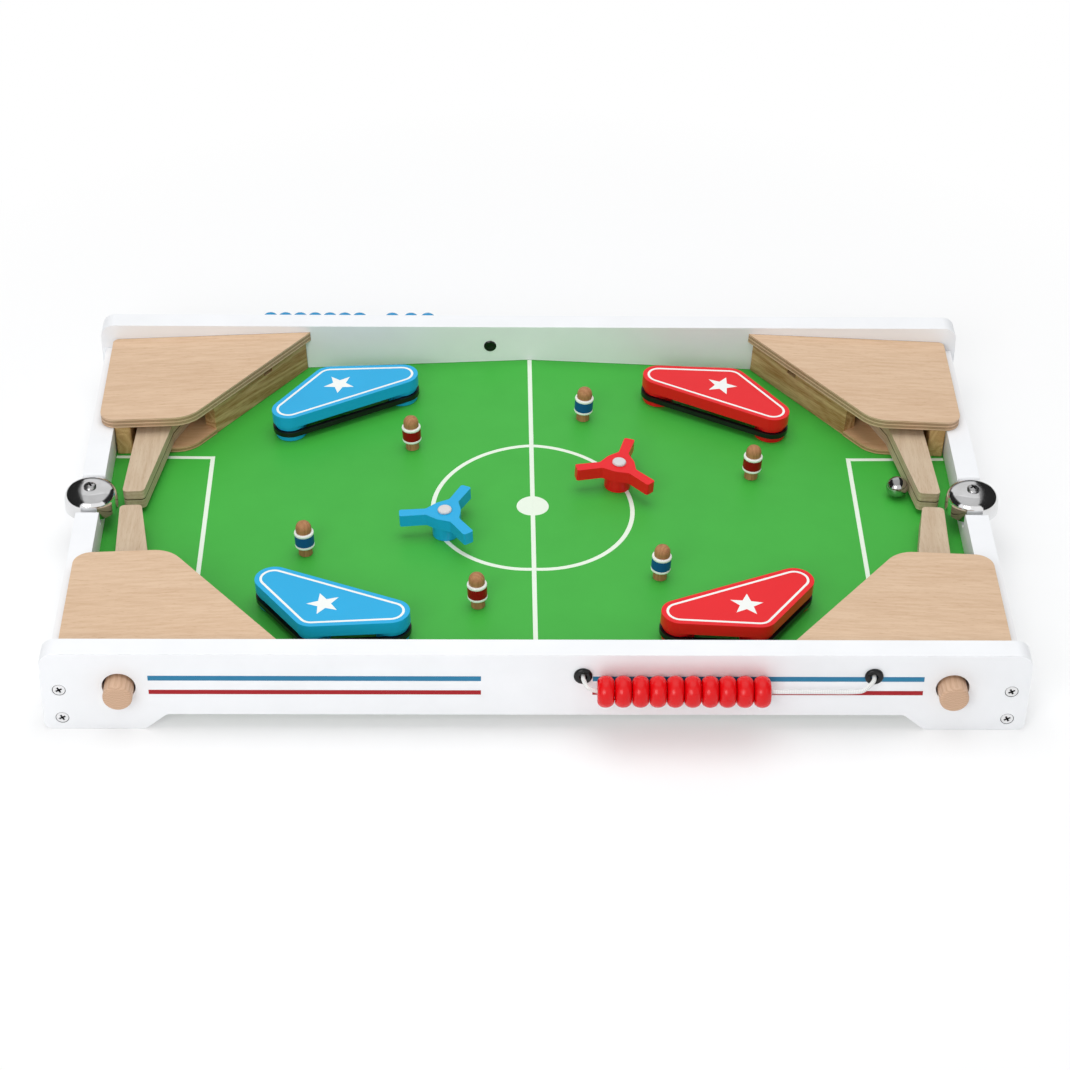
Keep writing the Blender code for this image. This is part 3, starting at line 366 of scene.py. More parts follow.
class PinballColours(bpy.types.PropertyGroup):
    """Colours of the paints, woods and rubbers."""

    white_paint: colour_property("White paint", "Planks and rails", 245, 246, 248)
    field_green: colour_property("Field green", "The playing field", 64, 178, 62)
    line_white: colour_property("Line white", "Inlays, stars and shirt trims", 244, 246, 242)
    chalk_white: colour_property("Chalk white", "Field lines", 234, 245, 228)
    cap_white: colour_property("Cap white", "Caps on the spindles", 216, 214, 214)
    blue_paint: colour_property("Blue paint", "Left bumpers and spinner", 26, 172, 226)
    red_paint: colour_property("Red paint", "Right bumpers and spinner", 234, 12, 26)
    blue_bead: colour_property("Blue bead", "Rear beads", 26, 150, 206)
    red_bead: colour_property("Red bead", "Front beads", 222, 0, 8)
    blue_stripe: colour_property("Blue stripe", "Upper stripe on the planks", 38, 124, 163)
    red_stripe: colour_property("Red stripe", "Lower stripe on the planks", 165, 14, 24)
    blue_shirt: colour_property("Blue shirt", "Blue players' shirts", 20, 88, 142)
    red_shirt: colour_property("Red shirt", "Red players' shirts", 146, 0, 12)
    ply_light: colour_property("Ply light", "Pale grain of the covers", 222, 191, 160)
    ply_dark: colour_property("Ply dark", "Darker grain of the covers", 200, 164, 130)
    ply_layer: colour_property("Ply layer", "Darker sheets and glue lines on a ply edge", 128, 92, 56)
    ply_seam: colour_property("Ply seam", "The seam half way up a flipper's edge", 62, 44, 30)
    # Mixed onto the flippers' rounded rims, which the normal's tilt picks out.
    ply_rim: colour_property("Ply rim", "Worn edges of the flippers", 236, 214, 190)
    flipper_light: colour_property("Flipper light", "Pale grain of the flippers", 208, 187, 160)
    flipper_dark: colour_property("Flipper dark", "Darker grain of the flippers", 184, 156, 127)
    base_light: colour_property("Base light", "Pale grain of the guards' base plates", 216, 174, 134)
    base_dark: colour_property("Base dark", "Darker grain of the guards' base plates", 192, 146, 106)
    pine_light: colour_property("Pine light", "Pale wood of the guards' blocks", 212, 176, 130)
    pine_dark: colour_property("Pine dark", "Darker grain of the guards' blocks", 158, 112, 66)
    # The end blocks' pine is brightened: painted light for the light that falls on them.
    block_light: colour_property("Block light", "Pale wood of the end blocks", 226, 190, 134)
    block_dark: colour_property("Block dark", "Darker grain of the end blocks", 196, 152, 98)
    dowel_light: colour_property("Dowel light", "Pale wood of the push buttons", 212, 177, 148)
    dowel_dark: colour_property("Dowel dark", "Grain of the push buttons", 180, 138, 106)
    player_light: colour_property("Player light", "Bare wood of the players", 186, 134, 92)
    player_dark: colour_property("Player dark", "Grain of the players", 140, 94, 58)
    rubber: colour_property("Rubber", "Bumper bands and return bands", 15, 15, 16)
    eyelet: colour_property("Eyelet", "Eyelets in the planks", 10, 10, 11)
    recess: colour_property("Recess", "The shade in the screws' crosses", 12, 12, 13)
    cord: colour_property("Cord", "Score cords", 238, 238, 236)


def sizes():
    return bpy.context.scene.pinball_sizes


def colour(name):
    return (*getattr(bpy.context.scene.pinball_colours, name), 1.0)


# Meshes


def belt(rounds):
    """An outline, anticlockwise, that runs round discs (x, y, radius) as a belt does.

    A negative radius is a hollow corner, and a radius of 0 a sharp one.
    """
    normals = []
    for (x0, y0, r0), (x1, y1, r1) in zip(rounds, rounds[1:] + rounds[:1]):
        distance = hypot(x1 - x0, y1 - y0)
        heading = atan2(y1 - y0, x1 - x0)
        normals.append(heading - acos((r0 - r1) / distance))
    outline = []
    for index, (x, y, radius) in enumerate(rounds):
        start = normals[index - 1]
        turn = (normals[index] - start + pi) % (2 * pi) - pi
        steps = max(1, ceil(abs(turn) / ARC_STEP)) if radius else 0
        for step in range(steps + 1):
            angle = start + turn * step / max(1, steps)
            outline.append((x + radius * cos(angle), y + radius * sin(angle)))
    return outline


def circle(x, y, radius, steps=64):
    return [
        (x + radius * cos(2 * pi * step / steps), y + radius * sin(2 * pi * step / steps))
        for step in range(steps)
    ]


def mirrored(outline, side, end):
    return [(side * x, end * y) for x, y in outline]


def deck(side):
    """The field's own frame on one side of the ridge."""
    return Matrix.Translation((0, 0, RIDGE_TOP)) @ Matrix.Rotation(side * FIELD_SLOPE, 4, "Y")


def shift(x, y, z):
    return Matrix.Translation((x, y, z))


def turn_about(axis, angle):
    return Matrix.Rotation(angle, 4, axis)


def baked(obj):
    """The mesh of an object with its modifiers done."""
    graph = bpy.context.evaluated_depsgraph_get()
    return bpy.data.meshes.new_from_object(obj.evaluated_get(graph))


def settle(obj):
    mesh = baked(obj)
    old = obj.data
    obj.modifiers.clear()
    obj.data = mesh
    bpy.data.meshes.remove(old)
    return obj


def discard(obj):
    data = obj.data
    bpy.data.objects.remove(obj)
    if isinstance(data, bpy.types.Mesh):
        bpy.data.meshes.remove(data)
    else:
        bpy.data.curves.remove(data)


def new_piece(name, mesh):
    piece = bpy.data.objects.new(name, mesh)
    bpy.context.scene.collection.objects.link(piece)
    return piece


def clean(piece):
    """Merges doubles and turns the faces outward."""
    work = bmesh.new()
    work.from_mesh(piece.data)
    bmesh.ops.remove_doubles(work, verts=work.verts, dist=WELD)
    bmesh.ops.recalc_face_normals(work, faces=work.faces)
    work.to_mesh(piece.data)
    work.free()
    return piece


def slab(name, loops, bottom, top):
    """A flat piece cut to one outline, with further loops as holes in it."""
    curve = bpy.data.curves.new(name, "CURVE")
    curve.dimensions = "2D"
    curve.fill_mode = "BOTH"
    curve.extrude = (top - bottom) / 2
    for loop in loops:
        spline = curve.splines.new("POLY")
        spline.points.add(len(loop) - 1)
        for point, (x, y) in zip(spline.points, loop):
            point.co = (x, y, 0, 1)
        spline.use_cyclic_u = True
    guide = new_piece(name + "_outline", curve)
    mesh = baked(guide)
    discard(guide)
    mesh.transform(shift(0, 0, (top + bottom) / 2))
    return clean(new_piece(name, mesh))


def turned(name, profile, ring=False, steps=None):
    """A turned piece from (radius, height) pairs that run from the top down the outer side."""
    mesh = bpy.data.meshes.new(name)
    edges = [(index, index + 1) for index in range(len(profile) - 1)]
    if ring:
        edges.append((len(profile) - 1, 0))
    mesh.from_pydata([(radius, 0, height) for radius, height in profile], edges, [])
    piece = new_piece(name, mesh)
    screw = piece.modifiers.new("turning", "SCREW")
    screw.axis = "Z"
    screw.angle = 2 * pi
    screw.steps = screw.render_steps = steps or sizes().turning_steps
    screw.use_merge_vertices = True
    screw.merge_threshold = WELD
    return clean(settle(piece))


def rod(name, radius, bottom, top, steps=48):
    return turned(name, [(0, top), (radius, top), (radius, bottom), (0, bottom)], steps=steps)


def round_edges(piece, width, segments=3, angle=radians(40)):
    bevel = piece.modifiers.new("edge_round", "BEVEL")
    bevel.width = width
    bevel.segments = segments
    bevel.limit_method = "ANGLE"
    bevel.angle_limit = angle
    return settle(piece)


def combine(piece, others, operation):
    """Joins or cuts a piece with others, which are used up."""
    for other in others:
        boolean = piece.modifiers.new(operation.lower(), "BOOLEAN")
        boolean.operation = operation
        boolean.object = other
    settle(piece)
    for other in others:
        discard(other)
    return clean(piece)


def placed(piece, *matrices):
    """Moves a piece's mesh, the last matrix first."""
    whole = Matrix.Identity(4)
    for matrix in matrices:
        whole = whole @ matrix
    piece.data.transform(whole)
    return piece


def joined(name, pieces):
    """One piece from several meshes that lie apart or touch."""
    work = bmesh.new()
    for piece in pieces:
        work.from_mesh(piece.data)
        discard(piece)
    mesh = bpy.data.meshes.new(name)
    work.to_mesh(mesh)
    work.free()
    return new_piece(name, mesh)


def finish(piece, material, body, nodes=(), sharp=radians(32), flats=True):
    """Gives a piece its material and its shading, and ties it to the frame."""
    mesh = piece.data
    mesh.name = piece.name
    mesh.materials.clear()
    mesh.materials.append(material)
    for face in mesh.polygons:
        face.material_index = 0
    mesh.shade_smooth()
    mesh.set_sharp_from_angle(angle=sharp)
    if flats:
        weighted = piece.modifiers.new("flat_faces", "WEIGHTED_NORMAL")
        weighted.keep_sharp = True
        weighted.weight = 80
        name = mesh.name
        settle(piece)
        piece.data.name = name
    if body:
        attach(piece, body)
    if nodes:
        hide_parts(*nodes)
    return piece


def swept(name, points, radius, ring=16, closed=False):
    """A tube round a line. Its UVs count the tube's girths along it, and turns round it."""
    count = len(points)
    girth = 2 * pi * radius
    reach = [0.0]
    for near, far in zip(points, points[1:] + points[:1]):
        reach.append(reach[-1] + (far - near).length / girth)
    work = bmesh.new()
    uv = work.loops.layers.uv.new("UVMap")
    normal = None
    rings = []
    for index, point in enumerate(points):
        ahead = points[(index + 1) % count] if closed or index < count - 1 else point
        behind = points[index - 1] if closed or index else point
        along = (ahead - behind).normalized()
        normal = along.orthogonal() if normal is None else normal
        normal = (normal - along * normal.dot(along)).normalized()
        across = along.cross(normal)
        rings.append([
            work.verts.new(point + (normal * cos(2 * pi * k / ring) + across * sin(2 * pi * k / ring)) * radius)
            for k in range(ring)
        ])
    for index in range(count if closed else count - 1):
        near, far = rings[index], rings[(index + 1) % count]
        for k in range(ring):
            after = (k + 1) % ring
            face = work.faces.new((near[k], near[after], far[after], far[k]))
            spots = ((index, k), (index, k + 1), (index + 1, k + 1), (index + 1, k))
            for loop, (place, turn) in zip(face.loops, spots):
                loop[uv].uv = (reach[place], turn / ring)
    if not closed:
        work.faces.new(reversed(rings[0]))
        work.faces.new(rings[-1])
    mesh = bpy.data.meshes.new(name)
    work.to_mesh(mesh)
    work.free()
    return new_piece(name, mesh)


def smooth_curve(points, samples):
    """A smooth curve through the points, read at samples places between each two."""
    ends = [2 * points[0] - points[1]] + points + [2 * points[-1] - points[-2]]
    curve = []
    for p0, p1, p2, p3 in zip(ends, ends[1:], ends[2:], ends[3:]):
        for step in range(samples):
            t = step / samples
            curve.append(
                (2 * p1 + (p2 - p0) * t + (2 * p0 - 5 * p1 + 4 * p2 - p3) * t * t
                 + (3 * p1 - p0 - 3 * p2 + p3) * t * t * t) / 2
            )
    return curve + [points[-1]]


# Node trees


class Graph:
    """Adds nodes to one tree, laid out in rows."""

    def __init__(self, tree):
        self.tree = tree
        self.count = 0

    def node(self, kind, values=(), **settings):
        node = self.tree.nodes.new(kind)
        node.location = (220 * (self.count % 8), -260 * (self.count // 8))
        self.count += 1
        for name, value in settings.items():
            setattr(node, name, value)
        self.fill(node, dict(values))
        return node

    def fill(self, node, values):
        """Links or sets a node's inputs."""
        for key, value in values.items():
            if isinstance(value, bpy.types.NodeSocket):
                self.tree.links.new(value, node.inputs[key])
            else:
                node.inputs[key].default_value = value

    def math(self, operation, *values, clamp=False):
        return self.node("ShaderNodeMath", enumerate(values), operation=operation, use_clamp=clamp).outputs[0]

    def vector_math(self, operation, *values):
        node = self.node("ShaderNodeVectorMath", enumerate(values), operation=operation)
        return node.outputs["Value" if operation in ("LENGTH", "DOT_PRODUCT") else "Vector"]

    def noise(self, vector, scale, detail=2.0, roughness=0.5, distortion=0.0):
        values = {
            "Vector": vector, "Scale": scale, "Detail": detail, "Roughness": roughness, "Distortion": distortion,
        }
        return self.node("ShaderNodeTexNoise", values).outputs["Fac"]

    def spread(self, value, low, high, to_low=0.0, to_high=1.0):
        values = {0: value, 1: low, 2: high, 3: to_low, 4: to_high}
        return self.node("ShaderNodeMapRange", values).outputs[0]

    def mix(self, factor, first, second):
        return self.node("ShaderNodeMix", {0: factor, 6: first, 7: second}, data_type="RGBA").outputs[2]

    def split(self, vector):
        return self.node("ShaderNodeSeparateXYZ", {0: vector}).outputs

    def merge(self, x, y, z):
        return self.node("ShaderNodeCombineXYZ", {0: x, 1: y, 2: z}).outputs[0]

    def group(self, tree, values):
        return self.node("ShaderNodeGroup", values, node_tree=tree).outputs


def shader_group(name, inputs, outputs, build):
    """A shader group with named sockets. build takes the graph and the inputs, and returns the outputs."""
    tree = bpy.data.node_groups.new(name, "ShaderNodeTree")
    for label, kind in inputs:
        tree.interface.new_socket(label, in_out="INPUT", socket_type="NodeSocket" + kind)
    for label, kind in outputs:
        tree.interface.new_socket(label, in_out="OUTPUT", socket_type="NodeSocket" + kind)
    graph = Graph(tree)
    source = graph.node("NodeGroupInput")
    graph.node("NodeGroupOutput", build(graph, source.outputs))
    return tree


def build_wood_grain(graph, given):
    """Grain along the vector's x, with growth lines, fine streaks and short flecks."""
    drawn = graph.vector_math("MULTIPLY", given["Vector"], (0.09, 1.0, 1.0))
    figure = graph.noise(drawn, given["Figure"], 1.5, 0.45, 0.25)
    lines = graph.spread(graph.math("SINE", graph.math("MULTIPLY", figure, given["Lines"])), -1.0, 1.0)
    streaks = graph.noise(drawn, graph.math("MULTIPLY", given["Figure"], 22.0), 3.0, 0.6)
    short = graph.noise(graph.vector_math("MULTIPLY", given["Vector"], (0.13, 1.0, 1.0)), 1300.0, 1.0)
    flecks = graph.spread(short, 0.58, 0.74)
    amount = graph.math("MULTIPLY", lines, given["Contrast"])
    amount = graph.math("ADD", amount, graph.spread(streaks, 0.35, 0.68, 0.0, 0.5))
    amount = graph.math("ADD", amount, graph.math("MULTIPLY", flecks, given["Flecks"]), clamp=True)
    return {
        "Colour": graph.mix(amount, given["Light"], given["Dark"]),
        "Roughness": graph.spread(streaks, 0.3, 0.7, 0.46, 0.60),
        "Height": graph.math("SUBTRACT", 1.0, graph.math("MULTIPLY", flecks, 0.8)),
    }


def build_growth_rings(graph, given):
    """Rings round the vector's z axis, which show on the ends, and streaks along the sides."""
    x, y, z = graph.split(given["Vector"])
    wander = graph.noise(graph.vector_math("MULTIPLY", given["Vector"], (1.0, 1.0, 0.08)), 160.0, 2.0)
    off_centre = graph.merge(graph.math("ADD", x, given["Pith"]), graph.math("ADD", y, given["Pith"]), 0.0)
    radius = graph.vector_math("LENGTH", off_centre)
    phase = graph.math("ADD", graph.math("DIVIDE", radius, given["Spacing"]), graph.math("MULTIPLY", wander, 2.2))
    rings = graph.spread(graph.math("SINE", graph.math("MULTIPLY", phase, 2 * pi)), -1.0, 1.0)
    streaks = graph.noise(graph.vector_math("MULTIPLY", given["Vector"], (1.0, 1.0, 0.04)), 2200.0, 2.0, 0.6)
    fine = graph.spread(streaks, 0.38, 0.66)
    amount = graph.math("MULTIPLY", rings, given["Contrast"])
    amount = graph.math("ADD", amount, graph.math("MULTIPLY", fine, 0.4), clamp=True)
    return {
        "Colour": graph.mix(amount, given["Light"], given["Dark"]),
        "Roughness": graph.spread(streaks, 0.3, 0.7, 0.46, 0.60),
        "Height": graph.math("SUBTRACT", 1.0, fine),
    }


def build_paint_film(graph, given):
    """Sprayed paint: a faint mottle in the colour, and the ripple that the film dries with."""
    mottle = graph.spread(graph.noise(given["Vector"], 26.0, 3.0, 0.55), 0.3, 0.7)
    ripple = graph.noise(given["Vector"], given["Ripple"], 2.0, 0.4)
    dust = graph.spread(graph.noise(given["Vector"], 900.0, 1.0), 0.74, 0.82)
    darker = graph.mix(0.08, given["Colour"], (0, 0, 0, 1))
    return {
        "Colour": graph.mix(graph.math("MULTIPLY", mottle, given["Mottle"]), given["Colour"], darker),
        "Roughness": graph.math(
            "ADD", given["Gloss"],
            graph.math("ADD", graph.math("MULTIPLY", mottle, 0.05), graph.math("MULTIPLY", dust, 0.06)),
        ),
        "Height": graph.math("ADD", ripple, graph.math("MULTIPLY", dust, 0.3)),
    }


def build_deck_height(graph, given):
    """Height above the sloping field's face, on either side of the ridge."""
    x, y, z = graph.split(given["Vector"])
    rise = graph.math("MULTIPLY", graph.math("SUBTRACT", z, RIDGE_TOP), cos(FIELD_SLOPE))
    return {"Height": graph.math("ADD", rise, graph.math("MULTIPLY", graph.math("ABSOLUTE", x), sin(FIELD_SLOPE)))}


def build_ply_layers(graph, given):
    """The sheets on a ply edge: every second one shows end grain, with a glue line between."""
    place = graph.math("DIVIDE", graph.math("SUBTRACT", given["Height"], given["Under"]), given["Sheet"])
    within = graph.math("FRACT", place)
    number = graph.math("FLOORED_MODULO", graph.math("FLOOR", place), 2.0)
    upper = graph.math("LESS_THAN", within, 0.10)
    lower = graph.math("GREATER_THAN", within, 0.90)
    side = graph.math("LESS_THAN", graph.math("ABSOLUTE", graph.split(given["Normal"])[2]), 0.6)
    end_grain = graph.noise(given["Vector"], 2600.0, 2.0)
    shade = graph.math("MULTIPLY", number, graph.spread(end_grain, 0.3, 0.7, 0.35, 0.75))
    mask = graph.math("MAXIMUM", shade, graph.math("MULTIPLY", graph.math("MAXIMUM", upper, lower), 0.85))
    return {"Mask": graph.math("MULTIPLY", mask, side)}


GROUP_SOCKETS = {
    "wood_grain": (
        (("Vector", "Vector"), ("Light", "Color"), ("Dark", "Color"), ("Figure", "Float"), ("Lines", "Float"),
         ("Contrast", "Float"), ("Flecks", "Float")),
        (("Colour", "Color"), ("Roughness", "Float"), ("Height", "Float")),
        build_wood_grain,
    ),
    "growth_rings": (
        (("Vector", "Vector"), ("Light", "Color"), ("Dark", "Color"), ("Spacing", "Float"), ("Pith", "Float"),
         ("Contrast", "Float")),
        (("Colour", "Color"), ("Roughness", "Float"), ("Height", "Float")),
        build_growth_rings,
    ),
    "paint_film": (
        (("Vector", "Vector"), ("Colour", "Color"), ("Mottle", "Float"), ("Gloss", "Float"), ("Ripple", "Float")),
        (("Colour", "Color"), ("Roughness", "Float"), ("Height", "Float")),
        build_paint_film,
    ),
    "deck_height": ((("Vector", "Vector"),), (("Height", "Float"),), build_deck_height),
    "ply_layers": (
        (("Vector", "Vector"), ("Normal", "Vector"), ("Height", "Float"), ("Under", "Float"), ("Sheet", "Float")),
        (("Mask", "Float"),),
        build_ply_layers,
    ),
}


def effect(name):
    """The shared shader group of that name, built on first use."""
    if name not in bpy.data.node_groups:
        inputs, outputs, build = GROUP_SOCKETS[name]
        shader_group(name, inputs, outputs, build)
    return bpy.data.node_groups[name]


def new_material(name):
    """A bare material: its graph, its shader and its object coordinates."""
    material = bpy.data.materials.new(name)
    material.use_nodes = True
    graph = Graph(material.node_tree)
    graph.count = 2
    coordinates = graph.node("ShaderNodeTexCoord").outputs
    return material, graph, material.node_tree.nodes["Principled BSDF"], coordinates


def bare_material(name):
    """A material with an empty tree, and its graph."""
    material = bpy.data.materials.new(name)
    material.use_nodes = True
    material.node_tree.nodes.clear()
    return material, Graph(material.node_tree)


def set_shader(graph, shader, **values):
    """Sets a shader's inputs, with an underscore for each space in their names."""
    graph.fill(shader, {name.replace("_", " "): value for name, value in values.items()})


def bump(graph, height, distance, strength=0.5):
    values = {"Height": height, "Distance": distance, "Strength": strength}
    return graph.node("ShaderNodeBump", values).outputs["Normal"]


def once(build):
    """Keeps one material for each set of arguments."""
    made = {}

    def wanted(*key):
        if key not in made:
            made[key] = build(*key)
        return made[key]

    return wanted


def film_material(name, tint, mottle, gloss, ripple, depth, **coat):
    """A material of one sprayed or printed film, with ripples of that depth."""
    material, graph, shader, coordinates = new_material(name)
    film = graph.group(effect("paint_film"), {
        "Vector": coordinates["Object"], "Colour": colour(tint), "Mottle": mottle, "Gloss": gloss, "Ripple": ripple,
    })
    set_shader(
        graph, shader, Base_Color=film["Colour"], Roughness=film["Roughness"],
        Normal=bump(graph, film["Height"], depth, 0.4), Specular_IOR_Level=0.3, **coat,
    )
    return material


@once
def painted(name, tint, gloss, coat, coat_gloss=0.12):
    return film_material(name, tint, 0.5, gloss, 420.0, 0.00004, Coat_Weight=coat, Coat_Roughness=coat_gloss)


def white_paint():
    return painted("white_lacquer", "white_paint", 0.42, 0.0)


def team_paint(tint):
    return painted(tint + "_gloss", tint, 0.30, 0.12)


def bead_paint(tint):
    return painted(tint + "_bead_gloss", tint + "_bead", 0.24, 0.12, 0.05)


@once
def printed(tint):
    """Screen-printed ink, matt, with a fine grain."""
    return film_material(tint + "_print", tint, 0.4, 0.46, 900.0, 0.00002)


@once
def field_surface():
    """The printed green sheet on the field boards."""
    return film_material("field_green_sheet", "field_green", 0.6, 0.42, 1300.0, 0.00003)


@once
def ply_board(name, light, dark, under, sheet, along_y, seam=None):
    """Ply with its grain on the faces and its sheets on the edges.

    With a seam, which is a height, the sheets are faint, the rounded rims lighter and the seam dark.
    """
    material, graph, shader, coordinates = new_material(name)
    turn = radians(90) if along_y else 0.0
    mapping = graph.node("ShaderNodeMapping", {"Vector": coordinates["Object"], "Rotation": (0, 0, turn)})
    grain = graph.group(effect("wood_grain"), {
        "Vector": mapping.outputs[0], "Light": colour(light), "Dark": colour(dark), "Figure": 17.0,
        "Lines": 40.0, "Contrast": 0.14, "Flecks": 0.42,
    })
    height = graph.group(effect("deck_height"), {"Vector": coordinates["Object"]})["Height"]
    normal = graph.node("ShaderNodeNewGeometry").outputs["Normal"]
    layers = graph.group(effect("ply_layers"), {
        "Vector": coordinates["Object"], "Normal": normal, "Height": height, "Under": under, "Sheet": sheet,
    })["Mask"]
    if seam:
        layers = graph.math("MULTIPLY", layers, 0.3)
    wood = graph.mix(layers, grain["Colour"], colour("ply_layer"))
    if seam:
        # The rounded rims, where the normal is half tilted, are made paler.
        tilt = graph.math("ABSOLUTE", graph.split(normal)[2])
        rim = graph.math("COMPARE", tilt, 0.62, 0.33)
        wood = graph.mix(graph.math("MULTIPLY", rim, 0.6), wood, colour("ply_rim"))
        edge = graph.math("LESS_THAN", tilt, 0.5)
        line = graph.math("MULTIPLY", graph.math("COMPARE", height, seam, SEAM_HALF_WIDTH), edge)
        wood = graph.mix(line, wood, colour("ply_seam"))
    set_shader(
        graph, shader, Base_Color=wood,
        Roughness=grain["Roughness"], Normal=bump(graph, grain["Height"], 0.00005, 0.5), Specular_IOR_Level=0.35,
    )
    return material


@once
def solid_wood(name, light, dark, turn):
    material, graph, shader, coordinates = new_material(name)
    mapping = graph.node("ShaderNodeMapping", {"Vector": coordinates["Object"], "Rotation": (0, 0, turn)})
    grain = graph.group(effect("wood_grain"), {
        "Vector": mapping.outputs[0], "Light": colour(light), "Dark": colour(dark), "Figure": 44.0,
        "Lines": 52.0, "Contrast": 0.55, "Flecks": 0.25,
    })
    set_shader(
        graph, shader, Base_Color=grain["Colour"], Roughness=grain["Roughness"],
        Normal=bump(graph, grain["Height"], 0.00005, 0.6), Specular_IOR_Level=0.35,
    )
    return material


@once
def dowel_wood():
    """Turned dowel with its rings centred on the push buttons' own axes."""
    material, graph, shader, coordinates = new_material("beech_dowel_wood")
    x, y, z = graph.split(coordinates["Object"])
    axis_x, axis_z = button_axis()
    pith = 0.03
    vector = graph.merge(
        graph.math("SUBTRACT", graph.math("ABSOLUTE", x), axis_x + pith), graph.math("SUBTRACT", z, axis_z), y,
    )
    rings = graph.group(effect("growth_rings"), {
        "Vector": vector, "Light": colour("dowel_light"), "Dark": colour("dowel_dark"), "Spacing": 0.0016,
        "Pith": pith, "Contrast": 0.4,
    })
    set_shader(
        graph, shader, Base_Color=rings["Colour"], Roughness=rings["Roughness"],
        Normal=bump(graph, rings["Height"], 0.00005, 0.5),
    )
    return material


@once
def player_finish(tint):
    """Bare turned wood, with a painted shirt between two white trims."""
    material, graph, shader, coordinates = new_material(tint + "_player_wood")
    rings = graph.group(effect("growth_rings"), {
        "Vector": coordinates["Object"], "Light": colour("player_light"), "Dark": colour("player_dark"),
        "Spacing": 0.0035, "Pith": 0.02, "Contrast": 0.3,
    })
    height = graph.group(effect("deck_height"), {"Vector": coordinates["Object"]})["Height"]
    share = graph.math("DIVIDE", graph.math("SUBTRACT", height, GAP), PLAYER_HEIGHT)
    middle = (SHIRT_TOP_SHARE + SHIRT_UNDER_SHARE) / 2
    half = (SHIRT_TOP_SHARE - SHIRT_UNDER_SHARE) / 2
    shirt = graph.math("COMPARE", share, middle, half + 0.004)
    dyed = graph.math("COMPARE", share, middle, half - SHIRT_TRIM_SHARE)
    film = graph.group(effect("paint_film"), {
        "Vector": coordinates["Object"], "Colour": graph.mix(dyed, colour("line_white"), colour(tint + "_shirt")),
        "Mottle": 0.4, "Gloss": 0.36, "Ripple": 700.0,
    })
    roughness = graph.math("MULTIPLY", graph.math("SUBTRACT", 1.0, shirt), rings["Roughness"])
    set_shader(
        graph, shader, Base_Color=graph.mix(shirt, rings["Colour"], film["Colour"]),
        Roughness=graph.math("ADD", roughness, graph.math("MULTIPLY", shirt, film["Roughness"])),
        Normal=bump(graph, rings["Height"], 0.00004, 0.4), Specular_IOR_Level=0.18,
    )
    return material


@once
def rubber(name, tint, roughness):
    material, graph, shader, coordinates = new_material(name)
    grit = graph.noise(coordinates["Object"], 2400.0, 3.0, 0.6)
    bloom = graph.spread(graph.noise(coordinates["Object"], 60.0, 2.0), 0.35, 0.7)
    dull = tuple(1.5 * part + 0.001 for part in colour(tint)[:3]) + (1.0,)
    set_shader(
        graph, shader, Base_Color=graph.mix(bloom, colour(tint), dull),
        Roughness=graph.spread(grit, 0.3, 0.7, roughness - 0.05, roughness + 0.08),
        Normal=bump(graph, grit, 0.00004, 0.5), Specular_IOR_Level=0.35,
    )
    return material


@once
def metal(name, tone, roughness, scratch):
    """Bright metal with fine rubbing marks."""
    material, graph, shader, coordinates = new_material(name)
    marks = graph.noise(coordinates["Object"], scratch, 4.0, 0.7, 0.6)
    cloud = graph.noise(coordinates["Object"], 70.0, 2.0)
    base = graph.mix(graph.spread(cloud, 0.35, 0.65), (tone, tone, tone * 1.01, 1), (tone * 0.9,) * 3 + (1,))
    set_shader(
        graph, shader, Base_Color=base, Metallic=1.0,
        Roughness=graph.spread(marks, 0.35, 0.7, roughness, roughness + 0.09),
        Normal=bump(graph, marks, 0.00001, 0.35),
    )
    return material


def zinc_steel():
    return metal("zinc_steel", 0.55, 0.24, 2600.0)


def screw_steel():
    return metal("screw_steel", 0.86, 0.27, 2600.0)


def recess_shade():
    return rubber("recess_shade", "recess", 0.8)


@once
def braided_cord():
    """White braid: two sets of strands that cross, laid out on the cord's own UVs."""
    material, graph, shader, coordinates = new_material("white_braid")
    u, v, w = graph.split(coordinates["UV"])
    turns = graph.math("MULTIPLY", v, 8 * pi)
    run = graph.math("MULTIPLY", u, 8 * pi)
    one = graph.math("SINE", graph.math("ADD", run, turns))
    other = graph.math("SINE", graph.math("SUBTRACT", run, turns))
    strands = graph.spread(graph.math("MULTIPLY", one, other), -1.0, 1.0)
    fuzz = graph.noise(coordinates["Object"], 5000.0, 2.0)
    height = graph.math("ADD", strands, graph.math("MULTIPLY", fuzz, 0.3))
    # Between the strands the braid is darker: painted shade in the hollows.
    shaded = tuple(0.72 * part for part in colour("cord")[:3]) + (1.0,)
    set_shader(
        graph, shader, Base_Color=graph.mix(graph.spread(strands, 0.0, 0.6), shaded, colour("cord")),
        Roughness=graph.spread(fuzz, 0.2, 0.8, 0.72, 0.9), Normal=bump(graph, height, 0.00025, 0.8),
        Sheen_Weight=0.2,
    )
    return material


# Geometry node trees


def geometry_tree(name, inputs):
    tree = bpy.data.node_groups.new(name, "GeometryNodeTree")
    for label, kind in inputs:
        tree.interface.new_socket(label, in_out="INPUT", socket_type="NodeSocket" + kind)
    tree.interface.new_socket("Geometry", in_out="OUTPUT", socket_type="NodeSocketGeometry")
    graph = Graph(tree)
    return tree, graph, graph.node("NodeGroupInput").outputs


def end_tree(graph, geometry, material):
    real = graph.node("GeometryNodeRealizeInstances", {0: geometry}).outputs[0]
    dressed = graph.node("GeometryNodeSetMaterial", {"Geometry": real, "Material": material}).outputs[0]
    graph.node("NodeGroupOutput", {0: dressed})


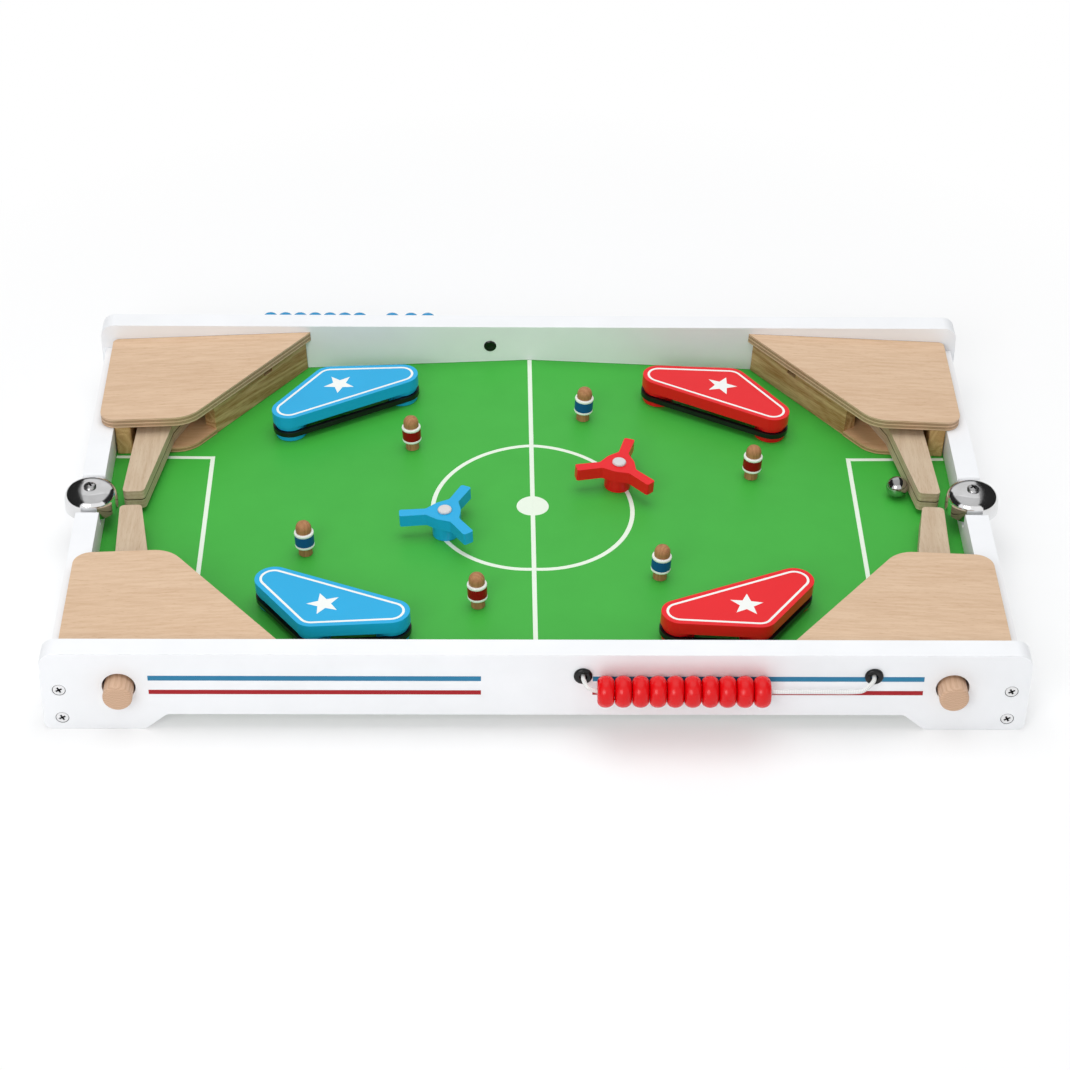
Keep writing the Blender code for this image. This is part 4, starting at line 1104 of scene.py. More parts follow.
@once
def printed_line_tree():
    """A flat ribbon of ink along each line of the mesh."""
    tree, graph, given = geometry_tree("printed_line", (
        ("Geometry", "Geometry"), ("Width", "Float"), ("Thickness", "Float"), ("Material", "Material"),
    ))
    line = graph.node("GeometryNodeMeshToCurve", {0: given["Geometry"]}).outputs[0]
    upright = graph.node("GeometryNodeSetCurveNormal", {0: line}, mode="Z_UP").outputs[0]
    section = graph.node("GeometryNodeCurvePrimitiveQuadrilateral", mode="RECTANGLE")
    graph.tree.links.new(given["Width"], section.inputs["Width"])
    graph.tree.links.new(given["Thickness"], section.inputs["Height"])
    ribbon = graph.node("GeometryNodeCurveToMesh", {
        "Curve": upright, "Profile Curve": section.outputs[0], "Fill Caps": True,
    }).outputs[0]
    end_tree(graph, ribbon, given["Material"])
    return tree


@once
def stand_at_points_tree():
    """A copy of one piece at each point of the mesh."""
    tree, graph, given = geometry_tree("stand_at_points", (
        ("Geometry", "Geometry"), ("Piece", "Object"), ("Material", "Material"),
    ))
    shape = graph.node("GeometryNodeObjectInfo", {"Object": given["Piece"]}).outputs["Geometry"]
    copies = graph.node("GeometryNodeInstanceOnPoints", {"Points": given["Geometry"], "Instance": shape}).outputs[0]
    end_tree(graph, copies, given["Material"])
    return tree


@once
def threaded_row_tree():
    """A row of one piece along x, centred, as beads are threaded on a cord."""
    tree, graph, given = geometry_tree("threaded_row", (
        ("Geometry", "Geometry"), ("Piece", "Object"), ("Count", "Int"), ("Pitch", "Float"), ("Material", "Material"),
    ))
    step = graph.merge(given["Pitch"], 0.0, 0.0)
    back = graph.math("MULTIPLY", graph.math("SUBTRACT", given["Count"], 1.0), given["Pitch"])
    start = graph.merge(graph.math("MULTIPLY", back, -0.5), 0.0, 0.0)
    places = graph.node("GeometryNodeMeshLine", {
        "Count": given["Count"], "Start Location": start, "Offset": step,
    }).outputs[0]
    shape = graph.node("GeometryNodeObjectInfo", {"Object": given["Piece"]}).outputs["Geometry"]
    row = graph.node("GeometryNodeInstanceOnPoints", {"Points": places, "Instance": shape}).outputs[0]
    end_tree(graph, row, given["Material"])
    return tree


def grown(carrier, tree, **values):
    """Runs a tree on a carrier mesh and leaves its result as plain mesh."""
    modifier = carrier.modifiers.new("build", "NODES")
    modifier.node_group = tree
    for item in tree.interface.items_tree:
        if item.in_out == "INPUT" and item.name in values:
            modifier[item.identifier] = values[item.name]
    return settle(carrier)


def point_mesh(name, points):
    mesh = bpy.data.meshes.new(name)
    mesh.from_pydata(points, [], [])
    return new_piece(name, mesh)


def line_mesh(name, lines):
    """Open lines of points. A closed one repeats its first point."""
    mesh = bpy.data.meshes.new(name)
    points = []
    edges = []
    for line in lines:
        first = len(points)
        closed = line[0] == line[-1]
        kept = line[:-1] if closed else line
        points += kept
        edges += [(first + index, first + index + 1) for index in range(len(kept) - 1)]
        if closed:
            edges.append((first + len(kept) - 1, first))
    mesh.from_pydata(points, edges, [])
    return new_piece(name, mesh)


def ink_lines(name, lines, width, material, lift=0.0):
    flat = [[(x, y, lift + PRINT_THICKNESS / 2) for x, y in line] for line in lines]
    return clean(grown(
        line_mesh(name, flat), printed_line_tree(), Width=width, Thickness=PRINT_THICKNESS, Material=material,
    ))


# Shapes that several pieces share


def field_profile(side, slack):
    """One field board's cross-section in world x and z, grown by slack."""
    inner = GAP / 2 - slack
    outer = RAIL_INNER + GROOVE_DEPTH - GAP + slack
    drop = tan(FIELD_SLOPE)
    top = RIDGE_TOP + slack
    under = RIDGE_TOP - FIELD_THICKNESS - slack
    corners = [
        (inner, under - inner * drop),
        (outer, under - outer * drop),
        (outer, top - outer * drop),
        (inner, top - inner * drop),
    ]
    return [(side * x, z) for x, z in corners]


def upright(centre):
    """Stands a piece cut in its xy plane in world xz, at y = centre."""
    return shift(0, centre, 0) @ turn_about("X", pi / 2)


def field_cutters():
    reach = INNER_WALL + GROOVE_DEPTH
    return [
        placed(slab("field_groove_cutter", [field_profile(side, GAP)], -reach, reach), upright(0))
        for side in SIDES.values()
    ]


def button_axis():
    """World x and z of a push button's axis."""
    x = BUTTON_ACROSS * cos(FIELD_SLOPE) + BUTTON_ABOVE * sin(FIELD_SLOPE)
    z = RIDGE_TOP - BUTTON_ACROSS * sin(FIELD_SLOPE) + BUTTON_ABOVE * cos(FIELD_SLOPE)
    return x, z


def cross_bars(radius, bottom, top):
    """The two bars of a cross recess, as separate pieces."""
    reach = radius * 0.58
    arm = radius * 0.165
    outline = [(-reach, -arm), (reach, -arm), (reach, arm), (-reach, arm)]
    return [
        placed(slab("recess", [outline], bottom, top), turn_about("Z", turn + radians(28))) for turn in (0, pi / 2)
    ]


def cross_screw(name, radius, height, dome):
    """A screw head with a cross recess, its seat at z = 0. dome is how much of its height curves."""
    profile = [(0, height)]
    for share in (0.3, 0.6, 0.82, 0.95, 1.0):
        profile.append((share * radius, height * (1 - share ** 4 * dome)))
    head = turned(name, profile + [(radius, -0.0002), (0, -0.0002)], steps=40)
    return combine(head, cross_bars(radius, height * 0.3, height + CUT_OVERRUN), "DIFFERENCE")


def cross_shade(name, radius, height):
    """A dark piece at the bottom of a cross recess: painted shade for the shadow in it."""
    return joined(name, cross_bars(radius * 0.98, height * 0.25, height * 0.62))


def slant_line():
    """The cover's slanting edge: its start by the flipper, its heading and the normal into the corner."""
    start = Vector((COVER_OUTER - COVER_MOUTH_REACH, COVER_NEAR_EDGE))
    apex = Vector((COVER_OUTER - COVER_APEX_REACH, INNER_WALL))
    heading = (apex - start).normalized()
    return start, heading, Vector((heading.y, -heading.x))


def cover_outline(inset, outer, near_edge, corner_radius, back_radius):
    """The corner's outline on the field, drawn in from the cover's edge by inset."""
    start, heading, inward = slant_line()
    slant = start + inward * inset
    wall = INNER_WALL - GAP
    apex = slant + heading * ((wall - slant.y) / heading.y)
    turn = acos(-heading.x)
    radius = COVER_MOUTH_RADIUS - inset
    mouth = slant + heading * ((near_edge - slant.y) / heading.y)
    centre = mouth + Vector((radius * tan(turn / 2), radius))
    return belt([
        (centre.x, centre.y, radius),
        (outer - corner_radius, near_edge + corner_radius, corner_radius),
        (outer - back_radius, wall - back_radius, back_radius),
        (apex.x, apex.y, 0),
    ])


def guard_slant():
    """The slanting block's outer face: its end by the flipper, and where it meets the plank."""
    start, heading, inward = slant_line()
    near = start + inward * GUARD_SETBACK + heading * SLANT_BLOCK_START
    far = near + heading * ((INNER_WALL - GAP - near.y) / heading.y)
    return near, far, heading, inward


def band_anchor():
    near, far, heading, inward = guard_slant()
    return near + (far - near) * POCKET_PLACE_SHARE + inward * SLANT_BLOCK_THICKNESS / 2


def band_hook():
    """The peg on the flipper that the return band pulls, from the pivot."""
    return Vector((HOOK_ACROSS_SHARE, HOOK_ALONG_SHARE)) * FLIPPER_HUB_RADIUS


def band_way():
    """From the anchor in the slanting block to the flipper's peg."""
    return (Vector((PIVOT_ACROSS, FLIPPER_PIVOT_ALONG)) + band_hook() - band_anchor()).normalized()


def band_pocket():
    """The pocket in the slanting block's top: a notch outside, the anchor, and the band's way out."""
    anchor = band_anchor()
    inward = guard_slant()[3]
    way = band_way()
    room = max(ANCHOR_PEG_RADIUS, HOOK_RADIUS) + 2 * (RETURN_BAND_RADIUS + GAP)
    notch = anchor - inward * (SLANT_BLOCK_THICKNESS / 2 + POCKET_NOTCH_RADIUS / 2)
    out = anchor + way * (SLANT_BLOCK_THICKNESS / 2 + room) / way.dot(inward)
    return belt([
        (notch.x, notch.y, POCKET_NOTCH_RADIUS),
        (out.x, out.y, room),
        (anchor.x, anchor.y, room),
    ])


def blade_inner_edge():
    """The blade's inner edge from the pivot: its corner at the tip, and its bend by the hub."""
    tip = Vector((FLIPPER_TIP_OFFSET, -FLIPPER_LENGTH))
    root = Vector((FLIPPER_ROOT_OFFSET, -FLIPPER_ROOT_LENGTH))
    return tip, root


def flipper_outline():
    """The flipper at rest, about its pivot, for the rear right corner."""
    tip, root = blade_inner_edge()
    radius = FLIPPER_TIP_RADIUS
    return belt([
        (tip.x + radius, tip.y + radius, radius),
        (tip.x + FLIPPER_TIP_WIDTH - radius, tip.y + radius, radius),
        (root.x + FLIPPER_ROOT_WIDTH - radius, root.y, radius),
        (LEVER_LENGTH * cos(FLIPPER_SWING), LEVER_LENGTH * sin(FLIPPER_SWING), FLIPPER_PAD_RADIUS),
        (0, 0, FLIPPER_HUB_RADIUS),
        (root.x - radius, root.y, -radius),
    ])


def button_nose():
    """World y of a push button's inner end, clear of the flipper's pad."""
    pad_along = FLIPPER_PIVOT_ALONG + LEVER_LENGTH * sin(FLIPPER_SWING)
    return pad_along + FLIPPER_PAD_RADIUS + BUTTON_TOUCH_GAP


def bumper_rounds(radius):
    """The bumper's three corner discs on the field of the rear right corner."""
    return [
        (across * RAIL_INNER, along * INNER_WALL, radius)
        for across, along in zip(BUMPER_ACROSS_SHARES, BUMPER_ALONG_SHARES)
    ]


def spinner_outline():
    rounds = []
    neck = SPINNER_NECK_RADIUS
    tip = SPINNER_TIP_RADIUS
    half = SPINNER_TIP_WIDTH / 2 - tip
    hollow = SPINNER_NECK_WIDTH / 2 + neck
    for arm in range(SPINNER_ARMS):
        turn = 2 * pi * arm / SPINNER_ARMS
        for x, y, radius in (
            (SPINNER_NECK_PLACE, -hollow, -neck),
            (SPINNER_REACH - tip, -half, tip),
            (SPINNER_REACH - tip, half, tip),
            (SPINNER_NECK_PLACE, hollow, -neck),
        ):
            rounds.append((x * cos(turn) - y * sin(turn), x * sin(turn) + y * cos(turn), radius))
        rounds.append((0, 0, SPINNER_HUB_RADIUS))
    return belt(rounds)


def star_outline(x, y, reach, turn):
    points = []
    for index in range(10):
        radius = reach if index % 2 == 0 else reach * STAR_INNER_SHARE
        angle = pi / 2 + turn + index * pi / 5
        points.append((x + radius * cos(angle), y + radius * sin(angle)))
    return points


def ball_place():
    """Across and along of the ball that rests against the rear right flipper's blade."""
    tip, root = blade_inner_edge()
    edge = (root - tip).normalized()
    outward = Vector((-edge.y, edge.x))
    touch = tip + edge * BALL_ALONG_FLIPPER
    centre = touch + outward * (BALL_RADIUS + GAP)
    return centre + Vector((PIVOT_ACROSS, FLIPPER_PIVOT_ALONG))


def cord_route(drop):
    """Listed points of a score cord, on the front plank, from its near eyelet to its far one."""
    route = [Vector((NEAR_EYELET, -INNER_WALL - CORD_RADIUS, EYELET_HEIGHT))]
    for along, out, down in CORD_ROUTE_SHARES:
        x = NEAR_EYELET + along * EYELET_SPACING
        y = -OUTER_FACE - out * (BEAD_OUT - OUTER_FACE)
        route.append(Vector((x, y, EYELET_HEIGHT - down * drop)))
    route.append(Vector((NEAR_EYELET + EYELET_SPACING, -INNER_WALL - CORD_RADIUS, EYELET_HEIGHT)))
    return route


def row_turn(label):
    """The back row is the front one, turned round the middle of the game."""
    return turn_about("Z", 0 if label == "front" else pi)


# Operators


class PINBALL_OT_studio(bpy.types.Operator):
    """Makes the camera, the floor and the studio light"""

    bl_idname = "pinball.studio"
    bl_label = "Studio"

    def execute(self, context):
        scene = context.scene
        data = bpy.data.cameras.new("photo_camera")
        data.lens = CAMERA_LENS
        data.sensor_width = CAMERA_SENSOR
        data.clip_end = 20.0
        camera = bpy.data.objects.new("photo_camera", data)
        scene.collection.objects.link(camera)
        turn = turn_about("Y", CAMERA_ROLL) @ turn_about("X", CAMERA_TILT) @ turn_about("Z", CAMERA_TURN)
        camera.matrix_world = shift(*CAMERA_PLACE) @ turn @ turn_about("X", pi / 2)
        scene.camera = camera
        scene.view_settings.view_transform = "Standard"
        self.add_floor()
        self.add_flags()
        self.add_world(scene)
        for name, place, size, power in PANELS:
            self.add_panel(scene, name, place, size, power)
        return {"FINISHED"}

    def add_panel(self, scene, name, place, size, power):
        data = bpy.data.lights.new(name, "AREA")
        data.shape = "DISK"
        data.size = size
        data.energy = power
        panel = bpy.data.objects.new(name, data)
        scene.collection.objects.link(panel)
        aim = Vector(PANEL_AIM) - Vector(place)
        panel.matrix_world = shift(*place) @ aim.to_track_quat("-Z", "Y").to_matrix().to_4x4()

    def seen_rays(self, graph):
        """1 for the rays that the camera, metal or glass sees the background by."""
        path = graph.node("ShaderNodeLightPath").outputs
        seen = graph.math("MAXIMUM", path["Is Camera Ray"], path["Is Glossy Ray"])
        return graph.math("MAXIMUM", seen, path["Is Transmission Ray"])

    def add_floor(self):
        """White ground that glows, for what sees it, more and more away from the game."""
        square = [(x * FLOOR_REACH, y * FLOOR_REACH, 0) for x, y in ((-1, -1), (1, -1), (1, 1), (-1, 1))]
        mesh = bpy.data.meshes.new("floor")
        mesh.from_pydata(square, [], [(0, 1, 2, 3)])
        mesh.transform(shift(0, 0, -FLOOR_DROP))
        floor = new_piece("floor", mesh)
        material, graph = bare_material("floor_white")
        matt = graph.node("ShaderNodeBsdfDiffuse", {"Color": (FLOOR_WHITE,) * 3 + (1,)}).outputs[0]
        glow = graph.node("ShaderNodeEmission", {"Color": (1, 1, 1, 1), "Strength": 1.0}).outputs[0]
        away = graph.vector_math("LENGTH", graph.node("ShaderNodeTexCoord").outputs["Object"])
        nearness = graph.spread(away, *FLOOR_FADE, FLOOR_NEAR_GLOW, 1.0)
        share = graph.math("MULTIPLY", self.seen_rays(graph), nearness)
        mixed = graph.node("ShaderNodeMixShader", {0: share, 1: matt, 2: glow}).outputs[0]
        graph.node("ShaderNodeOutputMaterial", {"Surface": mixed})
        mesh.materials.append(material)

    def add_flags(self):
        """Grey cloths round the back and overhead and a black one beyond each end, for reflections alone."""
        angles = [
            radians((2 * column / GREY_FLAG_COLUMNS - 1) * GREY_FLAG_DEGREES) for column in range(GREY_FLAG_COLUMNS + 1)
        ]
        self.add_flag("grey_flag", [
            [(GREY_FLAG_REACH * sin(angle), GREY_FLAG_REACH * cos(angle), height) for angle in angles]
            for height in GREY_FLAG_HEIGHTS
        ], 0.5, 1.3, 0.78)
        ends = (-CANOPY_REACH, CANOPY_REACH)
        self.add_flag("grey_canopy", [[(x, y, CANOPY_HEIGHT) for x in ends] for y in ends], 0, 1, 0.6)
        for label, side in SIDES.items():
            self.add_flag(label + "_black_flag", [
                [(side * BLACK_FLAG_ACROSS, along, height) for along in BLACK_FLAG_ALONG]
                for height in BLACK_FLAG_HEIGHTS
            ], 1.0, 1.4, 0.3)

    def add_flag(self, name, rows, low, high, tone):
        """A cloth through the rows of points, black up to the height low and of that tone above high."""
        mesh = bpy.data.meshes.new(name)
        count = len(rows[0])
        starts = [row * count + column for row in range(len(rows) - 1) for column in range(count - 1)]
        faces = [(start, start + 1, start + count + 1, start + count) for start in starts]
        mesh.from_pydata([point for row in rows for point in row], [], faces)
        flag = new_piece(name, mesh)
        material, graph = bare_material(name + "_cloth")
        height = graph.split(graph.node("ShaderNodeTexCoord").outputs["Object"])[2]
        strength = graph.spread(height, low, high, FLAG_BLACK, tone)
        glow = graph.node("ShaderNodeEmission", {"Color": (1, 1, 1, 1), "Strength": strength}).outputs[0]
        graph.node("ShaderNodeOutputMaterial", {"Surface": glow})
        mesh.materials.append(material)
        flag.visible_camera = flag.visible_diffuse = flag.visible_transmission = flag.visible_shadow = False

    def add_world(self, scene):
        world = bpy.data.worlds.new("studio")
        world.use_nodes = True
        world.node_tree.nodes.clear()
        graph = Graph(world.node_tree)
        seen = self.seen_rays(graph)
        ambient = graph.node("ShaderNodeBackground", {"Color": AMBIENT_COLOUR, "Strength": AMBIENT_STRENGTH}).outputs[0]
        plain = graph.node("ShaderNodeBackground", {"Color": (1, 1, 1, 1), "Strength": 1.0}).outputs[0]
        mixed = graph.node("ShaderNodeMixShader", {0: seen, 1: ambient, 2: plain}).outputs[0]
        graph.node("ShaderNodeOutputWorld", {"Surface": mixed})
        scene.world = world


class PINBALL_OT_score_cords(bpy.types.Operator):
    """Makes the two braided score cords and their eyelets"""

    bl_idname = "pinball.score_cords"
    bl_label = "Score cords"

    def execute(self, context):
        for label in ("front", "back"):
            node = label + "_score_cord"
            turn = row_turn(label)
            route = [turn @ point for point in smooth_curve(cord_route(CORD_DROPS[label]), CORD_SAMPLES)]
            cord = swept(node, route, CORD_RADIUS)
            finish(cord, braided_cord(), "root", [node], flats=False)
            eyelets = placed(self.cut_eyelets(label), turn)
            finish(eyelets, rubber("eyelet_plastic", "eyelet", 0.2), "root", [node])
        return {"FINISHED"}

    def cut_eyelets(self, label):
        rim = GAP + EYELET_RIM_THICKNESS
        inner = CORD_RADIUS - PLANK_THICKNESS
        eyelets = []
        for x in (NEAR_EYELET, NEAR_EYELET + EYELET_SPACING):
            profile = [(EYELET_BORE_RADIUS, rim * 0.55), (EYELET_BORE_RADIUS + 0.0006, rim * 0.9)]
            middle = (EYELET_BORE_RADIUS + EYELET_RIM_RADIUS) / 2
            half = (EYELET_RIM_RADIUS - EYELET_BORE_RADIUS) / 2 - 0.0004
            for step in range(9):
                angle = radians(120 - step * 15)
                profile.append((middle + 0.0004 + half * cos(angle), rim * (0.45 + 0.55 * sin(angle))))
            profile += [
                (EYELET_RIM_RADIUS, rim * 0.42), (EYELET_RIM_RADIUS, 0.00005), (EYELET_BARREL_RADIUS, 0.00005),
                (EYELET_BARREL_RADIUS, inner), (EYELET_BORE_RADIUS, inner),
            ]
            eyelet = turned("eyelet", profile, ring=True, steps=48)
            eyelets.append(placed(eyelet, shift(x, -OUTER_FACE, EYELET_HEIGHT), turn_about("X", pi / 2)))
        back = EYELET_BACK_THICKNESS
        ring = turned("back_ring", [
            (0, back * 0.5), (EYELET_BORE_RADIUS, back * 0.6), (EYELET_BORE_RADIUS + 0.0006, back),
            (EYELET_BACK_RADIUS - 0.0008, back), (EYELET_BACK_RADIUS, back * 0.4), (EYELET_BACK_RADIUS, 0.00005),
            (0, 0.00005),
        ], steps=48)
        eyelets.append(placed(ring, shift(NEAR_EYELET, -INNER_WALL, EYELET_HEIGHT), turn_about("X", -pi / 2)))
        return joined(label + "_eyelets", eyelets)


class PINBALL_OT_planks(bpy.types.Operator):
    """Makes the two side planks with their stripes and screws"""

    bl_idname = "pinball.planks"
    bl_label = "Side planks"

    def execute(self, context):
        for label in ("front", "back"):
            turn = row_turn(label)
            plank = placed(self.cut_plank(label + "_plank"), turn)
            finish(plank, white_paint(), "root", [label + "_plank"])
            for tint, height in STRIPE_HEIGHTS.items():
                lines = [
                    [(side * STRIPE_ENDS[0], height), (side * STRIPE_ENDS[1], height)] for side in SIDES.values()
                ]
                ink = printed(tint + "_stripe")
                width = sizes().stripe * STRIPE_WIDTH_SHARES[tint]
                stripe = ink_lines(f"{label}_{tint}_stripe", lines, width, ink)
                placed(stripe, turn, shift(0, -OUTER_FACE, 0), turn_about("X", pi / 2))
                finish(stripe, ink, "root", flats=False)
            self.add_screws(label, turn)
        return {"FINISHED"}

    def cut_plank(self, name):
        half = HALF_LENGTH
        corner = PLANK_CORNER_RADIUS
        foot = FOOT_CORNER_RADIUS
        toe = half - FOOT_LENGTH
        heel = toe - FOOT_SLOPE_RUN
        lean = foot * tan(atan2(FOOT_HEIGHT, FOOT_SLOPE_RUN) / 2)
        outline = belt([
            (-half + foot, foot, foot),
            (-toe - lean, foot, foot),
            (-heel + lean, FOOT_HEIGHT - foot, -foot),
            (heel - lean, FOOT_HEIGHT - foot, -foot),
            (toe + lean, foot, foot),
            (half - foot, foot, foot),
            (half - corner, PLANK_HEIGHT - corner, corner),
            (-half + corner, PLANK_HEIGHT - corner, corner),
        ])
        centre = -(INNER_WALL + PLANK_THICKNESS / 2)
        plank = slab(name, [outline], -PLANK_THICKNESS / 2, PLANK_THICKNESS / 2)
        round_edges(plank, sizes().plank_edge, 4)
        placed(plank, upright(centre))
        x, z = button_axis()
        holes = [
            (side * x, z + BUTTON_HOLE_CLEARANCE - GAP, BUTTON_RADIUS + BUTTON_HOLE_CLEARANCE)
            for side in SIDES.values()
        ]
        for eyelet in (NEAR_EYELET, NEAR_EYELET + EYELET_SPACING):
            holes.append((eyelet, EYELET_HEIGHT, EYELET_BARREL_RADIUS + GAP))
        cutters = field_cutters()
        reach = PLANK_THICKNESS / 2 + CUT_OVERRUN
        for hole_x, hole_z, radius in holes:
            cutter = rod("hole_cutter", radius, -reach, reach, 64)
            cutters.append(placed(cutter, shift(hole_x, centre, hole_z), turn_about("X", pi / 2)))
        for side in SIDES.values():
            for screw_x, screw_z in SCREW_PLACES:
                radius = sizes().screw_radius + sizes().sink_room
                sink = rod("sink_cutter", radius, -sizes().sink_depth, CUT_OVERRUN, 48)
                cutters.append(placed(sink, shift(side * screw_x, -OUTER_FACE, screw_z), turn_about("X", pi / 2)))
        return combine(plank, cutters, "DIFFERENCE")

    def add_screws(self, label, turn):
        radius = sizes().screw_radius
        depth = sizes().sink_depth
        room = radius + sizes().sink_room * 0.9
        # The ring round each head and the crosses are dark pieces of painted shade, for the shadow in the gap and in
        # the recess.
        ring = slab("sink_shade", [circle(0, 0, room), circle(0, 0, radius * 1.01)], 0.00002, depth - 0.00035)
        points = [(side * x, z, 0) for side in SIDES.values() for x, z in SCREW_PLACES]
        height = depth - 0.0001
        head = cross_screw("screw", radius, height, 0.12)
        shade = joined("shade", [cross_shade("cross", radius, height), ring])
        for name, pattern, material in (("screws", head, screw_steel()), ("screw_shade", shade, recess_shade())):
            row = grown(
                point_mesh(f"{label}_plank_{name}", points), stand_at_points_tree(), Piece=pattern, Material=material,
            )
            discard(pattern)
            placed(row, turn, shift(0, -OUTER_FACE + depth, 0), turn_about("X", pi / 2))
            finish(row, material, "root", sharp=radians(40))


class PINBALL_OT_rails(bpy.types.Operator):
    """Makes the two end rails with the bells' notches"""

    bl_idname = "pinball.rails"
    bl_label = "End rails"

    def execute(self, context):
        half = INNER_WALL - GAP
        notch = NOTCH_WIDTH / 2
        corner = NOTCH_CORNER_RADIUS
        outline = belt([
            (-half, RAIL_BOTTOM, 0),
            (half, RAIL_BOTTOM, 0),
            (half, RAIL_TOP, 0),
            (notch + corner, RAIL_TOP - corner, corner),
            (notch - corner, NOTCH_FLOOR + corner, -corner),
            (-notch + corner, NOTCH_FLOOR + corner, -corner),
            (-notch - corner, RAIL_TOP - corner, corner),
            (-half, RAIL_TOP, 0),
        ])
        for label, side in SIDES.items():
            rail = slab(label + "_rail", [outline], -RAIL_THICKNESS / 2, RAIL_THICKNESS / 2)
            round_edges(rail, sizes().rail_edge, 4)
            placed(rail, shift(side * RAIL_MIDDLE, 0, 0), turn_about("Z", pi / 2), turn_about("X", pi / 2))
            combine(rail, field_cutters(), "DIFFERENCE")
            finish(rail, white_paint(), "root", [label + "_rail"])
        return {"FINISHED"}


class PINBALL_OT_field(bpy.types.Operator):
    """Dresses the field boards and the ridge beam, and prints the field's white lines"""

    bl_idname = "pinball.field"
    bl_label = "Playing field"

    def execute(self, context):
        nodes = frame["nodes"]
        for label in SIDES:
            self.dress(nodes[label + "_field_board"], field_surface())
        self.dress(nodes["ridge_beam"], solid_wood("beam_pine", "pine_light", "pine_dark", radians(90)))
        ink = printed("chalk_white")
        width = sizes().field_line
        for label, side in SIDES.items():
            lines = ink_lines(label + "_field_lines", self.lay_lines(side, width), width, ink)
            ridge = ink_lines(
                label + "_centre_line",
                [[(side * width / 4, -INNER_WALL + GAP), (side * width / 4, INNER_WALL - GAP)]], width / 2, ink,
            )
            half_turn = [step * pi / 40 for step in range(41)]
            dot = [(side * CENTRE_DOT_RADIUS * sin(angle), CENTRE_DOT_RADIUS * cos(angle)) for angle in half_turn]
            spot = slab(label + "_centre_spot", [dot], 0, 1.3 * PRINT_THICKNESS)
            whole = joined(label + "_field_print", [lines, ridge, spot])
            finish(placed(whole, deck(side)), ink, "root", flats=False)
        return {"FINISHED"}

    def dress(self, node, material):
        node.data.materials.clear()
        node.data.materials.append(material)

    def lay_lines(self, side, width):
        across, along = CENTRE_CIRCLE_REACH
        end = acos(width / 2 / across)
        angles = [end * step / 30 for step in range(-30, 31)]
        arc = [(side * across * cos(angle), along * sin(angle)) for angle in angles]
        box = side * GOAL_BOX_ACROSS
        rail = side * (RAIL_INNER - GAP)
        start = box + side * width / 2
        return [
            arc,
            [(box, GOAL_BOX_FRONT[0] - width / 2), (box, GOAL_BOX_REAR[0] + width / 2)],
            [(start, GOAL_BOX_REAR[0]), (rail, GOAL_BOX_REAR[1])],
            [(start, GOAL_BOX_FRONT[0]), (rail, GOAL_BOX_FRONT[1])],
        ]


def corners():
    """Each corner's label, side and end."""
    for end_label, end in ENDS.items():
        for side_label, side in SIDES.items():
            yield f"{end_label}_{side_label}", side, end


class PINBALL_OT_covers(bpy.types.Operator):
    """Makes the four ply corner covers"""

    bl_idname = "pinball.covers"
    bl_label = "Corner covers"

    def execute(self, context):
        outline = cover_outline(0, COVER_OUTER, COVER_NEAR_EDGE, COVER_CORNER_RADIUS, COVER_BACK_RADIUS)
        ply = ply_board("cover_ply", "ply_light", "ply_dark", COVER_UNDER, COVER_THICKNESS / 5, False)
        for label, side, end in corners():
            cover = slab(label + "_cover", [mirrored(outline, side, end)], COVER_UNDER, COVER_TOP)
            round_edges(cover, sizes().ply_edge, 3)
            finish(placed(cover, deck(side)), ply, "root", [label + "_cover"])
        return {"FINISHED"}


